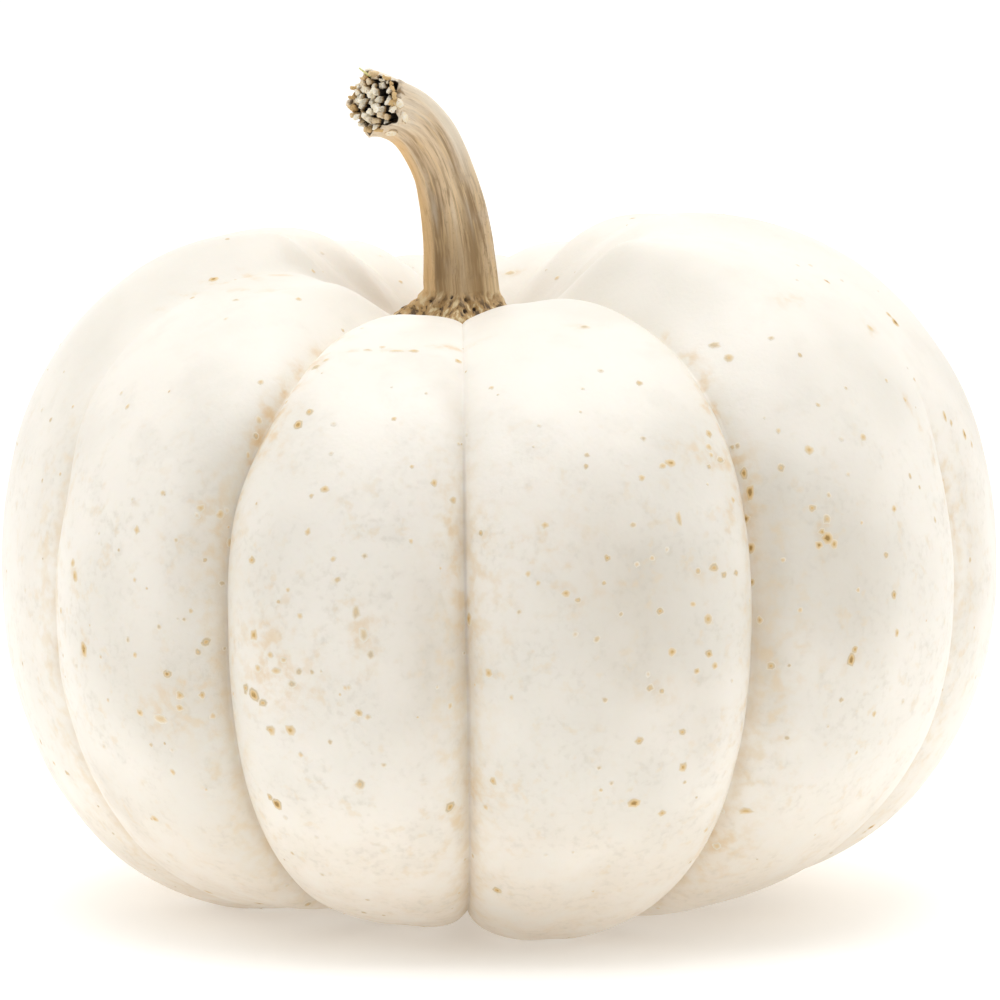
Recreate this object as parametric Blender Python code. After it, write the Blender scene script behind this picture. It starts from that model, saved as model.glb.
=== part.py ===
"""A mini white pumpkin, about 80 mm across: a ribbed fruit and the dried stem that stands in its crown.

The fruit rests on z = 0 with +Z up, and the middle of its box is over the origin. -Y is its front, the
side where two low lobes meet at an upright groove. The stem leans to the left and towards the front.
Angles are azimuths in degrees seen from above: 0 is +X, and they grow anticlockwise.
"""

import math
import random
from collections import namedtuple

import bmesh
import bpy
from mathutils import Vector, noise

MM = 0.001
UP = Vector((0.0, 0.0, 1.0))

# The fruit is a ring of lobes, listed anticlockwise from the front groove on.
# span: width round the stem in degrees. reach: furthest point from the line where the grooves meet.
# crown, foot: height of the lobe's top and of its lowest point. A foot below zero is flattened to the surface
# that the fruit rests on. groove, dip: depth of the groove after it, on the side and over the crown.
# gather: how many degrees that groove is turned towards the crown. fade: how much of it is lost there.
# pit: how the lobe falls to the stem, steeply near the stem when it is low and evenly when it is near 1.
Lobe = namedtuple("Lobe", "span reach crown foot groove dip gather fade pit")
LOBES = (
    Lobe(36, 40.0 * MM, 49.7 * MM, -0.6 * MM, 4.2 * MM, 1.8 * MM, -1.2, 0.4, 0.60),
    Lobe(34, 42.2 * MM, 54.3 * MM, 1.0 * MM, 2.6 * MM, 0.0 * MM, -3.0, 1.0, 1.00),
    Lobe(40, 43.1 * MM, 55.6 * MM, 0.8 * MM, 3.0 * MM, 0.1 * MM, 0.0, 0.9, 0.62),
    Lobe(31, 42.0 * MM, 54.6 * MM, -0.5 * MM, 3.3 * MM, 0.2 * MM, 0.0, 0.8, 0.52),
    Lobe(26, 40.4 * MM, 51.8 * MM, 0.6 * MM, 3.6 * MM, 0.5 * MM, 0.0, 0.5, 0.50),
    Lobe(31, 39.2 * MM, 50.6 * MM, 0.4 * MM, 3.4 * MM, 0.6 * MM, 0.0, 0.5, 0.50),
    Lobe(30, 38.4 * MM, 52.1 * MM, -0.5 * MM, 3.0 * MM, 0.4 * MM, 0.0, 0.6, 0.50),
    Lobe(31, 37.6 * MM, 53.8 * MM, 0.5 * MM, 3.0 * MM, 0.2 * MM, 0.0, 0.8, 0.55),
    Lobe(40, 37.1 * MM, 54.2 * MM, -0.5 * MM, 1.8 * MM, 0.2 * MM, -3.0, 0.6, 0.95),
    Lobe(29, 38.0 * MM, 51.2 * MM, 1.4 * MM, 4.2 * MM, 2.4 * MM, 3.2, 0.3, 0.70),
    Lobe(32, 39.0 * MM, 48.7 * MM, 0.9 * MM, 4.0 * MM, 0.9 * MM, 0.0, 0.5, 0.60),
)
FRONT_GROOVE = -89.0
EQUATOR = 27.0 * MM
PIT_HEIGHT = 46.8 * MM
PIT_FLOOR = 5.4 * MM
SCAR_HEIGHT = 3.5 * MM

# The rings along the lobes' crests and feet stand at these shares of their reach.
CREST_SHARE = 0.42
FOOT_SHARE = 0.40

# How full the lobes are: 2 is an ellipse, and more is squarer.
FULLNESS_ABOVE = 2.1
FULLNESS_BELOW = 2.12
FULLNESS_ACROSS = 2.3
GROOVE_ON_FOOT = 0.5
CROWN_GROOVE_LOW = 0.8
GROOVE_ROUNDING = 0.03

# Between these heights the grooves gather and fade.
CROWN_LOW = 34.0 * MM
CROWN_HIGH = 45.0 * MM

# The grooves wander a little to each side, and the rind is slightly uneven.
WANDER = 0.5
WANDER_PERIODS = 3
WANDER_RISE = 14.0 * MM
UNEVENNESS = 0.25 * MM
UNEVENNESS_SIZE = 16.0 * MM

COLUMNS_PER_LOBE = 10
COLUMNS_TO_GROOVES = 0.6
SCAR_RINGS = 5
SIDE_RINGS = 22
PIT_RINGS = 8

# The stem's middle line is a curve drawn by four points, measured from the line where the grooves meet.
STEM_CURVE = (
    Vector((0.0, 0.0, 46.8)) * MM,
    Vector((0.0, 0.8, 53.5)) * MM,
    Vector((-1.1, 0.9, 64.0)) * MM,
    Vector((-6.9, -5.5, 64.8)) * MM,
)
STEM_RADIUS_LOW = 2.95 * MM
STEM_RADIUS_HIGH = 2.2 * MM
STEM_SLIM_SHARE = 0.55
STEM_END_FLARE = 0.25 * MM
STEM_END_FLARE_LENGTH = 0.07
STEM_TWIST = 20.0
ANGLE_HEIGHT = 0.08
RIB_HEIGHT = 0.03
RIBS_PER_ANGLE = 3

# The stem has five angles, and each runs out into a toe of its foot.
TOES = (1.2 * MM, 0.95 * MM, 1.3 * MM, 1.4 * MM, 2.4 * MM)
FIRST_TOE = -97.0
TOE_SHARPNESS = 1.6
TOE_THICKNESS = 0.35 * MM
FOOT_RADIUS = 3.6 * MM
FOOT_GAP = 0.34 * MM
FLARE_HEIGHT = 2.8 * MM
FLARE_SWEEP = 2.0

STEM_COLUMNS = 40
UNDERSIDE_SHARES = (0.3, 0.65, 1.0)
FLARE_RINGS = 5
SHAFT_RINGS = 17

# The torn end: corky blocks that stand out of it, in rings round the middle one.
BLOCKS_IN_RINGS = (1, 6, 12, 15)
BLOCK_RING_STEP = 0.74 * MM
BLOCK_RADIUS = 0.44 * MM
BLOCK_SIDES = 5
BLOCK_ROOT = 0.8 * MM
BLOCK_RISE = (0.2 * MM, 0.85 * MM)
BLOCK_LEAN = 0.12
END_HOLLOW = 0.35 * MM
END_RIM = 0.8

RIND_COLOUR = (0.86, 0.81, 0.71, 1.0)
STEM_COLOUR = (0.42, 0.29, 0.15, 1.0)


def new_material(name, colour, roughness):
    material = bpy.data.materials.new(name)
    material.use_nodes = True
    shader = material.node_tree.nodes["Principled BSDF"]
    shader.inputs["Base Color"].default_value = colour
    shader.inputs["Roughness"].default_value = roughness
    shader.inputs["Metallic"].default_value = 0.0
    material.diffuse_color = colour
    return material


def signed_power(value, power):
    return math.copysign(abs(value) ** power, value)


def outwards(azimuth):
    turn = math.radians(azimuth)
    return Vector((math.cos(turn), math.sin(turn), 0.0))


def groove_azimuths():
    """The azimuth of the groove before each lobe, and last the first groove again, a full turn on."""
    scale = 360.0 / sum(lobe.span for lobe in LOBES)
    azimuths = [FRONT_GROOVE]
    for lobe in LOBES:
        azimuths.append(azimuths[-1] + lobe.span * scale)
    return azimuths


GROOVES = groove_azimuths()


def lobe_at(azimuth):
    """Which lobe an azimuth falls in, and how far across it: -1 at its first groove, 1 at its last."""
    azimuth = FRONT_GROOVE + (azimuth - FRONT_GROOVE) % 360.0
    index = max(i for i in range(len(LOBES)) if azimuth >= GROOVES[i])
    share = (azimuth - GROOVES[index]) / (GROOVES[index + 1] - GROOVES[index])
    return index, 2.0 * share - 1.0


def blended(index, across, size, lower_share):
    """One of a lobe's sizes, changing smoothly from its middle to where it meets the lobe beside it.

    lower_share is how near that meeting is to the lower one of the two lobes' sizes.
    """
    own = getattr(LOBES[index], size)
    beside = getattr(LOBES[(index + (1 if across > 0.0 else -1)) % len(LOBES)], size)
    meeting = min(own, beside) * lower_share + max(own, beside) * (1.0 - lower_share)
    return own + (meeting - own) * (1.0 - math.cos(math.pi * across)) / 2.0


def sunk(across):
    """How far the rind is sunk between the lobes: 0 along a lobe's middle, 1 along the bottom of a groove."""
    inside = math.hypot(1.0 - abs(across), GROOVE_ROUNDING) - GROOVE_ROUNDING
    inside /= math.hypot(1.0, GROOVE_ROUNDING) - GROOVE_ROUNDING
    return 1.0 - (1.0 - (1.0 - inside) ** FULLNESS_ACROSS) ** (1.0 / FULLNESS_ACROSS)


def between_grooves(azimuth, size):
    """One of the sizes of the grooves, changing evenly from each groove to the next."""
    index, across = lobe_at(azimuth)
    share = (across + 1.0) / 2.0
    return getattr(LOBES[index - 1], size) * (1.0 - share) + getattr(LOBES[index], size) * share


def lobe_sizes(azimuth):
    """The reach, crown and foot that hold at an azimuth, and how deep the rind is sunk on the side there."""
    index, across = lobe_at(azimuth)
    reach = blended(index, across, "reach", 0.5)
    crown = blended(index, across, "crown", CROWN_GROOVE_LOW) - between_grooves(azimuth, "dip") * sunk(across)
    foot = blended(index, across, "foot", 0.5)
    return reach, crown, foot, between_grooves(azimuth, "groove") * sunk(across)


def near_crown(height):
    """0 on the sides and 1 on the crown, changing smoothly in between."""
    rise = min(1.0, max(0.0, (height - CROWN_LOW) / (CROWN_HIGH - CROWN_LOW)))
    return rise * rise * (3.0 - 2.0 * rise)


def scar_hollow(azimuth, share):
    """Radius and height under the fruit, from the blossom scar (share 0) out to the lobes' feet (share 1)."""
    reach, _, foot, depth = lobe_sizes(azimuth)
    rise = math.sin(math.pi / 2.0 * share) ** 2
    return FOOT_SHARE * reach * share, SCAR_HEIGHT * (1.0 - rise) + (foot + GROOVE_ON_FOOT * depth) * rise


def side(azimuth, slope):
    """Radius and height on the outer side of the lobes, from their feet (slope -90) to their crests (90)."""
    reach, crown, foot, depth = lobe_sizes(azimuth)
    if slope < 0.0:
        middle = FOOT_SHARE * reach
        power = 2.0 / FULLNESS_BELOW
        rise = EQUATOR - foot - GROOVE_ON_FOOT * depth
    else:
        middle = CREST_SHARE * reach
        power = 2.0 / FULLNESS_ABOVE
        rise = crown - EQUATOR
    across, up = math.cos(math.radians(slope)), math.sin(math.radians(slope))
    height = EQUATOR + rise * signed_power(up, power)
    depth *= 1.0 - between_grooves(azimuth, "fade") * near_crown(height)
    return middle + (reach - middle - depth) * signed_power(across, power), height


def pit_height(azimuth, radius):
    """Height of the hollow that the stem stands in, out to the lobes' crests."""
    reach, crown, _, _ = lobe_sizes(azimuth)
    index, across = lobe_at(azimuth)
    share = (radius - PIT_FLOOR) / (CREST_SHARE * reach - PIT_FLOOR)
    rise = math.sin(math.pi / 2.0 * min(1.0, max(0.0, share)) ** blended(index, across, "pit", 0.5)) ** 2
    return PIT_HEIGHT + (crown - PIT_HEIGHT) * rise


def pit(azimuth, share):
    """Radius and height in the hollow round the stem, from its middle (share 0) to the crests (share 1)."""
    radius = share * CREST_SHARE * lobe_sizes(azimuth)[0]
    return radius, pit_height(azimuth, radius)


def rind_point(azimuth, radius, height):
    """A point of the rind, with the grooves' gathering and wandering and the rind's unevenness added."""
    gathered = between_grooves(azimuth, "gather") * near_crown(height)
    sway = WANDER * math.sin(math.radians(WANDER_PERIODS * azimuth) + height / WANDER_RISE)
    out = outwards(azimuth + gathered + sway)
    point = out * radius + UP * height
    swell = UNEVENNESS * noise.noise(point / UNEVENNESS_SIZE) * min(1.0, radius / EQUATOR)
    point += out * swell
    point.z = max(0.0, point.z)
    return point


def rind_columns():
    """Azimuths of the rind's columns, which stand closer together at the grooves."""
    columns = []
    for start, end in zip(GROOVES, GROOVES[1:]):
        for step in range(COLUMNS_PER_LOBE):
            even = 2.0 * step / COLUMNS_PER_LOBE - 1.0
            crowded = math.sin(math.pi / 2.0 * even)
            across = COLUMNS_TO_GROOVES * crowded + (1.0 - COLUMNS_TO_GROOVES) * even
            columns.append(start + (end - start) * (across + 1.0) / 2.0)
    return columns


def rind_rings():
    """Every ring of the rind, from beside the blossom scar, up the side and down into the pit."""
    stations = [(scar_hollow, step / SCAR_RINGS) for step in range(1, SCAR_RINGS)]
    stations += [(side, 180.0 * step / SIDE_RINGS - 90.0) for step in range(SIDE_RINGS + 1)]
    stations += [(pit, step / PIT_RINGS) for step in range(PIT_RINGS - 1, 0, -1)]
    columns = rind_columns()
    rings = []
    for section, place in stations:
        rings.append([rind_point(azimuth, *section(azimuth, place)) for azimuth in columns])
    return rings


def middle_of_box(rings):
    """The middle of the box round the rings, seen from above."""
    xs = [point.x for ring in rings for point in ring]
    ys = [point.y for ring in rings for point in ring]
    return Vector((min(xs) + max(xs), min(ys) + max(ys), 0.0)) / 2.0


def closed_mesh(name, rings, first, last, offset):
    """A closed mesh through rings of points, drawn together to one point at each end, and moved by offset."""
    shape = bmesh.new()
    rows = [[shape.verts.new(point) for point in ring] for ring in rings]
    start, end = shape.verts.new(first), shape.verts.new(last)
    count = len(rows[0])
    for column in range(count):
        following = (column + 1) % count
        shape.faces.new((start, rows[0][following], rows[0][column]))
        shape.faces.new((end, rows[-1][column], rows[-1][following]))
        for low, high in zip(rows, rows[1:]):
            shape.faces.new((low[column], low[following], high[following], high[column]))
    bmesh.ops.translate(shape, verts=shape.verts, vec=offset)
    bmesh.ops.recalc_face_normals(shape, faces=shape.faces)
    mesh = bpy.data.meshes.new(name)
    shape.to_mesh(mesh)
    shape.free()
    return mesh


def add_object(name, mesh, material):
    mesh.materials.append(material)
    mesh.shade_smooth()
    item = bpy.data.objects.new(name, mesh)
    bpy.context.scene.collection.objects.link(item)
    return item


def build_fruit():
    """The ribbed fruit. Returns the offset that brings the middle of its box over the origin."""
    rings = rind_rings()
    offset = -middle_of_box(rings)
    mesh = closed_mesh("fruit", rings, UP * SCAR_HEIGHT, UP * PIT_HEIGHT, offset)
    add_object("fruit", mesh, new_material("rind", RIND_COLOUR, 0.5))
    return offset


def stem_line(share):
    """Place and direction of the stem's middle line, from the pit (share 0) to the torn end (share 1)."""
    a, b, c, d = STEM_CURVE
    rest = 1.0 - share
    place = a * rest**3 + b * 3.0 * rest**2 * share + c * 3.0 * rest * share**2 + d * share**3
    along = (b - a) * rest**2 + (c - b) * 2.0 * rest * share + (d - c) * share**2
    return place, along.normalized()


def stem_frames(shares):
    """For each share of the stem: place, direction, and two directions across it that don't spin round it."""
    frames = []
    across = Vector((1.0, 0.0, 0.0))
    for share in shares:
        place, along = stem_line(share)
        across = (across - along * across.dot(along)).normalized()
        frames.append((place, along, across, along.cross(across)))
    return frames


def toe_length(azimuth):
    """How far the foot's toes reach out past its radius at an azimuth."""
    turn = (azimuth - FIRST_TOE) * len(TOES) / 360.0
    nearest = TOES[round(turn) % len(TOES)]
    return nearest * ((math.cos(2.0 * math.pi * turn) + 1.0) / 2.0) ** TOE_SHARPNESS


def shaft_radius(azimuth, share):
    """Radius of the shaft. Its angles start at the toes and turn slowly round it."""
    slim = min(1.0, share / STEM_SLIM_SHARE)
    radius = STEM_RADIUS_LOW + (STEM_RADIUS_HIGH - STEM_RADIUS_LOW) * slim
    radius += STEM_END_FLARE * math.exp((share - 1.0) / STEM_END_FLARE_LENGTH)
    turn = math.radians(azimuth - FIRST_TOE - STEM_TWIST * share) * len(TOES)
    return radius * (1.0 + ANGLE_HEIGHT * math.cos(turn) + RIB_HEIGHT * math.cos(RIBS_PER_ANGLE * turn))


def foot_rings(columns, flare_top):
    """The rings of the stem's foot: its underside over the pit, and the flare up to the shaft."""
    outline = [FOOT_RADIUS + toe_length(azimuth) for azimuth in columns]
    sections = [(share, 0.0, 0.0) for share in UNDERSIDE_SHARES]
    for step in range(FLARE_RINGS):
        rise = step / FLARE_RINGS
        sections.append((1.0, rise, TOE_THICKNESS * (1.0 - rise) + FLARE_HEIGHT * rise))
    rings = []
    for share, rise, lift in sections:
        ring = []
        for azimuth, reach in zip(columns, outline):
            neck = shaft_radius(azimuth, flare_top)
            radius = share * (neck + (reach - neck) * (1.0 - rise) ** FLARE_SWEEP)
            ring.append(outwards(azimuth) * radius + UP * (pit_height(azimuth, radius) + FOOT_GAP + lift))
        rings.append(ring)
    return rings


def stem_rings():
    """Every ring of the stem, from under its foot to the rim of the torn end, and the frame of that end."""
    columns = [360.0 * step / STEM_COLUMNS for step in range(STEM_COLUMNS)]
    flare_top = FLARE_HEIGHT / (STEM_CURVE[-1].z - PIT_HEIGHT)
    rings = foot_rings(columns, flare_top)
    shares = [flare_top + (1.0 - flare_top) * step / SHAFT_RINGS for step in range(SHAFT_RINGS + 1)]
    frames = stem_frames(shares)
    for share, (place, _, across, beside) in zip(shares, frames):
        ring = []
        for azimuth in columns:
            out = outwards(azimuth)
            ring.append(place + (across * out.x + beside * out.y) * shaft_radius(azimuth, share))
        rings.append(ring)
    return rings, frames[-1]


def cork_block(chance, place, along, across, beside):
    """One block of the torn end: a tapered post, rooted in the stem and leaning a little."""
    rise = chance.uniform(*BLOCK_RISE)
    radius = BLOCK_RADIUS * chance.uniform(0.75, 1.1)
    shape = bmesh.new()
    bmesh.ops.create_cone(
        shape,
        cap_ends=True,
        segments=BLOCK_SIDES,
        radius1=radius,
        radius2=radius * chance.uniform(0.7, 0.95),
        depth=BLOCK_ROOT + rise,
    )
    lean = across * chance.uniform(-BLOCK_LEAN, BLOCK_LEAN) + beside * chance.uniform(-BLOCK_LEAN, BLOCK_LEAN)
    turn = UP.rotation_difference(along + lean)
    bmesh.ops.rotate(shape, verts=shape.verts, matrix=turn.to_matrix())
    bmesh.ops.translate(shape, verts=shape.verts, vec=place + along * (rise - BLOCK_ROOT) / 2.0)
    mesh = bpy.data.meshes.new("cork_block")
    shape.to_mesh(mesh)
    shape.free()
    return bpy.data.objects.new("cork_block", mesh)


def cork_blocks(place, along, across, beside):
    """The blocks of the torn end, as a collection."""
    chance = random.Random(7)
    blocks = bpy.data.collections.new("cork_blocks")
    for number, count in enumerate(BLOCKS_IN_RINGS):
        for step in range(count):
            out = outwards(360.0 * (step + chance.uniform(-0.2, 0.2)) / count)
            radius = number * BLOCK_RING_STEP * chance.uniform(0.92, 1.03)
            middle = place + (across * out.x + beside * out.y) * radius
            blocks.objects.link(cork_block(chance, middle, along, across, beside))
    return blocks


def join_blocks(stem, blocks):
    """Joins the blocks to the stem in one union, and removes the blocks."""
    bpy.context.scene.collection.children.link(blocks)
    union = stem.modifiers.new("torn_end", "BOOLEAN")
    union.operation = "UNION"
    union.operand_type = "COLLECTION"
    union.collection = blocks
    union.solver = "EXACT"
    graph = bpy.context.evaluated_depsgraph_get()
    stem.data = bpy.data.meshes.new_from_object(stem.evaluated_get(graph))
    stem.modifiers.clear()
    for block in list(blocks.objects):
        bpy.data.objects.remove(block)
    bpy.data.collections.remove(blocks)


def build_stem(offset):
    """The dried stem: its foot with five toes, its ridged shaft and its torn end."""
    rings, (place, along, across, beside) = stem_rings()
    hollow = place - along * END_HOLLOW
    rings.append([hollow + (point - place) * END_RIM for point in rings[-1]])
    mesh = closed_mesh("stem", rings, UP * (PIT_HEIGHT + FOOT_GAP), hollow, offset)
    stem = add_object("stem", mesh, new_material("dried_stem", STEM_COLOUR, 0.7))
    join_blocks(stem, cork_blocks(place + offset, along, across, beside))


for item in list(bpy.data.objects):
    bpy.data.objects.remove(item)
build_stem(build_fruit())
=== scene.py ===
"""The looks of a mini white pumpkin: its ribbed rind with the marks on it, and its dried, torn-off stem.

Everything is in metres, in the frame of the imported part: the fruit rests on z = 0 with the middle of its box
over the origin, and -Y is its front. Angles are azimuths in degrees seen from above, anticlockwise from +X.
"""

import math
import random
from collections import namedtuple

import bpy
import numpy as np
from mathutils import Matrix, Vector, noise
from mathutils.bvhtree import BVHTree


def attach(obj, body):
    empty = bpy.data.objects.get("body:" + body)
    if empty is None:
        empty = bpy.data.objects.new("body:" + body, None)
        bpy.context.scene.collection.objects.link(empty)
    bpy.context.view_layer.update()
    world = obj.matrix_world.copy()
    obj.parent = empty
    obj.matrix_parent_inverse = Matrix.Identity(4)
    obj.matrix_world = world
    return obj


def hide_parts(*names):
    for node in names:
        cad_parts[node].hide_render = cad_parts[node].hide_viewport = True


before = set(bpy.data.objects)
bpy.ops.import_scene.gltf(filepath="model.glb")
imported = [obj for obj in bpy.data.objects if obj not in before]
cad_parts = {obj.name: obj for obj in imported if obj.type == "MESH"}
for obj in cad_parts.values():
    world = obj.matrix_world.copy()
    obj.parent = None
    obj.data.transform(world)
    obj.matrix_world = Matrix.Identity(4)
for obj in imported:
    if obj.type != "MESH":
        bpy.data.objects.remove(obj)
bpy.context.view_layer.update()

# The rind is the fruit's waxy white skin, one grown surface drawn into eleven ribs, with no seam. The ribs
# meet in grooves that run from the blossom scar underneath, up the sides and down into the pit of the stem.
MM = 0.001
UP = Vector((0.0, 0.0, 1.0))

# The ribs are listed anticlockwise from the front groove on, with their sizes in mm.
# span: width round the stem in degrees. reach: furthest point from the line where the grooves meet.
# crown, foot: height of the rib's top and of its lowest point. groove, dip: depth of the groove after it, on
# the side and over the crown. gather: how many degrees that groove is turned towards the crown.
# fade: how much of it is lost there. pit: how the rib falls to the stem, steep under 0.5 and gentle over it.
# first_edge, last_edge: how full the rib stays towards its two grooves.
Rib = namedtuple("Rib", "span reach crown foot groove dip gather fade pit first_edge last_edge")
RIB_SIZES = (
    (36, 40.0, 49.7, -0.6, 3.9, 1.8, -1.2, 0.4, 0.60, 2.75, 2.45),
    (34, 42.2, 54.3, 1.0, 2.6, 0.0, -3.0, 1.0, 1.00, 2.2, 2.5),
    (40, 43.1, 55.6, 0.8, 3.0, 0.1, 0.0, 0.9, 0.62, 2.2, 2.3),
    (31, 42.0, 54.6, -0.5, 3.3, 0.2, 0.0, 0.8, 0.52, 2.3, 2.3),
    (26, 40.4, 51.8, 0.6, 3.6, 0.5, 0.0, 0.5, 0.50, 2.3, 2.3),
    (31, 39.2, 50.6, 0.4, 3.4, 0.6, 0.0, 0.5, 0.50, 2.4, 2.3),
    (30, 38.4, 52.1, -0.5, 3.0, 0.4, 0.0, 0.6, 0.50, 2.3, 2.3),
    (31, 37.6, 53.8, 0.5, 3.0, 0.2, 0.0, 0.8, 0.55, 2.3, 2.2),
    (40, 37.1, 54.2, -0.5, 1.1, 0.2, -3.0, 0.6, 1.10, 2.3, 2.2),
    (29, 38.0, 51.0, 1.4, 3.5, 2.4, 3.2, 0.3, 0.90, 2.5, 2.2),
    (32, 39.0, 48.7, 0.9, 3.6, 0.9, 0.0, 0.5, 0.60, 2.4, 2.0),
)
RIBS = [Rib(span, *(size * MM for size in sizes[:5]), *sizes[5:]) for span, *sizes in RIB_SIZES]
FRONT_GROOVE = -89.0
EQUATOR = 27.0 * MM
PIT_HEIGHT = 46.8 * MM
PIT_FLOOR = 5.4 * MM
SCAR_HEIGHT = 3.5 * MM
CREST_SHARE = 0.42
FOOT_SHARE = 0.40
FULLNESS_ABOVE = 2.1
FULLNESS_BELOW = 2.12
GROOVE_ON_FOOT = 0.56
CROWN_GROOVE_LOW = 0.8
GROOVE_ROUNDING = 0.09

# Between these heights the grooves turn and fade.
CROWN_LOW = 34.0 * MM
CROWN_HIGH = 45.0 * MM

# The grooves wander a little to each side, and the rind swells and sinks: pairs of height and size.
WANDER = 0.5
WANDER_PERIODS = 3
WANDER_RISE = 14.0 * MM
UNEVENNESS = 0.25 * MM
UNEVENNESS_SIZE = 16.0 * MM
SWELLS = ((0.10 * MM, 6.0 * MM), (0.03 * MM, 2.2 * MM))

# How many of its half widths and half heights out a hollow is still worked out.
HOLLOW_REACH = 3.0

# Soft hollows in single ribs: azimuth and height of the middle, half width, half height and depth.
Hollow = namedtuple("Hollow", "azimuth height wide tall depth")
HOLLOWS = (
    Hollow(-71.5, 4.5 * MM, 2.2 * MM, 6.5 * MM, 0.55 * MM),
    Hollow(-107.0, 30.0 * MM, 3.5 * MM, 9.0 * MM, 0.20 * MM),
    Hollow(-37.0, 14.0 * MM, 4.0 * MM, 7.0 * MM, 0.25 * MM),
    Hollow(96.0, 24.0 * MM, 4.0 * MM, 8.0 * MM, 0.35 * MM),
    Hollow(161.0, 19.0 * MM, 4.5 * MM, 7.0 * MM, 0.30 * MM),
)

COLUMNS_PER_RIB = 40
COLUMNS_TO_GROOVES = 0.6
SCAR_RINGS = 12
SIDE_RINGS = 150
PIT_RINGS = 50


def signed_power(value, power):
    return math.copysign(abs(value) ** power, value)


def outwards(azimuth):
    turn = math.radians(azimuth)
    return Vector((math.cos(turn), math.sin(turn), 0.0))


def groove_azimuths():
    """The azimuth of the groove before each rib, and last the first groove again, a full turn on."""
    scale = 360.0 / sum(rib.span for rib in RIBS)
    azimuths = [FRONT_GROOVE]
    for rib in RIBS:
        azimuths.append(azimuths[-1] + rib.span * scale)
    return azimuths


GROOVES = groove_azimuths()

# The rind's sizes at one azimuth. sunk: 0 along a rib's middle and 1 along the bottom of a groove.
Section = namedtuple("Section", "azimuth reach crown foot depth sunk gather fade pit")


def rind_section(azimuth):
    """The reach, crown and foot that hold at an azimuth, and how deep the rind is sunk there."""
    azimuth = FRONT_GROOVE + (azimuth - FRONT_GROOVE) % 360.0
    index = max(i for i in range(len(RIBS)) if azimuth >= GROOVES[i])
    share = (azimuth - GROOVES[index]) / (GROOVES[index + 1] - GROOVES[index])
    across = 2.0 * share - 1.0
    rib = RIBS[index]
    beside = RIBS[(index + (1 if across > 0.0 else -1)) % len(RIBS)]
    blend = (1.0 - math.cos(math.pi * across)) / 2.0

    def blended(own, other, lower_share):
        meeting = min(own, other) * lower_share + max(own, other) * (1.0 - lower_share)
        return own + (meeting - own) * blend

    fullness = rib.last_edge if across > 0.0 else rib.first_edge
    inside = math.hypot(1.0 - abs(across), GROOVE_ROUNDING) - GROOVE_ROUNDING
    inside /= math.hypot(1.0, GROOVE_ROUNDING) - GROOVE_ROUNDING
    sunk = 1.0 - (1.0 - (1.0 - inside) ** fullness) ** (1.0 / fullness)

    def between(size):
        return getattr(RIBS[index - 1], size) * (1.0 - share) + getattr(rib, size) * share

    return Section(
        azimuth,
        blended(rib.reach, beside.reach, 0.5),
        blended(rib.crown, beside.crown, CROWN_GROOVE_LOW) - between("dip") * sunk,
        blended(rib.foot, beside.foot, 0.5),
        between("groove") * sunk,
        sunk,
        between("gather"),
        between("fade"),
        blended(rib.pit, beside.pit, 0.5),
    )


def near_crown(height):
    """0 on the sides and 1 on the crown, changing smoothly in between."""
    rise = min(1.0, max(0.0, (height - CROWN_LOW) / (CROWN_HIGH - CROWN_LOW)))
    return rise * rise * (3.0 - 2.0 * rise)


def under_fruit(section, share):
    """Radius and height under the fruit, from the blossom scar (share 0) out to the ribs' feet (share 1)."""
    rise = math.sin(math.pi / 2.0 * share) ** 2
    height = SCAR_HEIGHT * (1.0 - rise) + (section.foot + GROOVE_ON_FOOT * section.depth) * rise
    return FOOT_SHARE * section.reach * share, height


def up_side(section, slope):
    """Radius and height on the outer side of the ribs, from their feet (slope -90) to their crests (90)."""
    if slope < 0.0:
        middle = FOOT_SHARE * section.reach
        power = 2.0 / FULLNESS_BELOW
        rise = EQUATOR - section.foot - GROOVE_ON_FOOT * section.depth
    else:
        middle = CREST_SHARE * section.reach
        power = 2.0 / FULLNESS_ABOVE
        rise = section.crown - EQUATOR
    across, up = math.cos(math.radians(slope)), math.sin(math.radians(slope))
    height = EQUATOR + rise * signed_power(up, power)
    depth = section.depth * (1.0 - section.fade * near_crown(height))
    return middle + (section.reach - middle - depth) * signed_power(across, power), height


def pit_height(section, radius):
    """Height of the hollow that the stem stands in, out to the ribs' crests."""
    share = (radius - PIT_FLOOR) / (CREST_SHARE * section.reach - PIT_FLOOR)
    rise = math.sin(math.pi / 2.0 * min(1.0, max(0.0, share)) ** section.pit) ** 2
    return PIT_HEIGHT + (section.crown - PIT_HEIGHT) * rise


def into_pit(section, share):
    """Radius and height in the hollow round the stem, from its middle (share 0) to the crests (share 1)."""
    radius = share * CREST_SHARE * section.reach
    return radius, pit_height(section, radius)


def rind_point(section, radius, height):
    """A point of the rind, with the grooves' gathering and wandering and the rind's unevenness added."""
    gathered = section.gather * near_crown(height)
    sway = WANDER * math.sin(math.radians(WANDER_PERIODS * section.azimuth) + height / WANDER_RISE)
    out = outwards(section.azimuth + gathered + sway)
    point = out * radius + UP * height
    swell = UNEVENNESS * noise.noise(point / UNEVENNESS_SIZE) * min(1.0, radius / EQUATOR)
    point += out * swell
    point.z = max(0.0, point.z)
    return point


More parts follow.
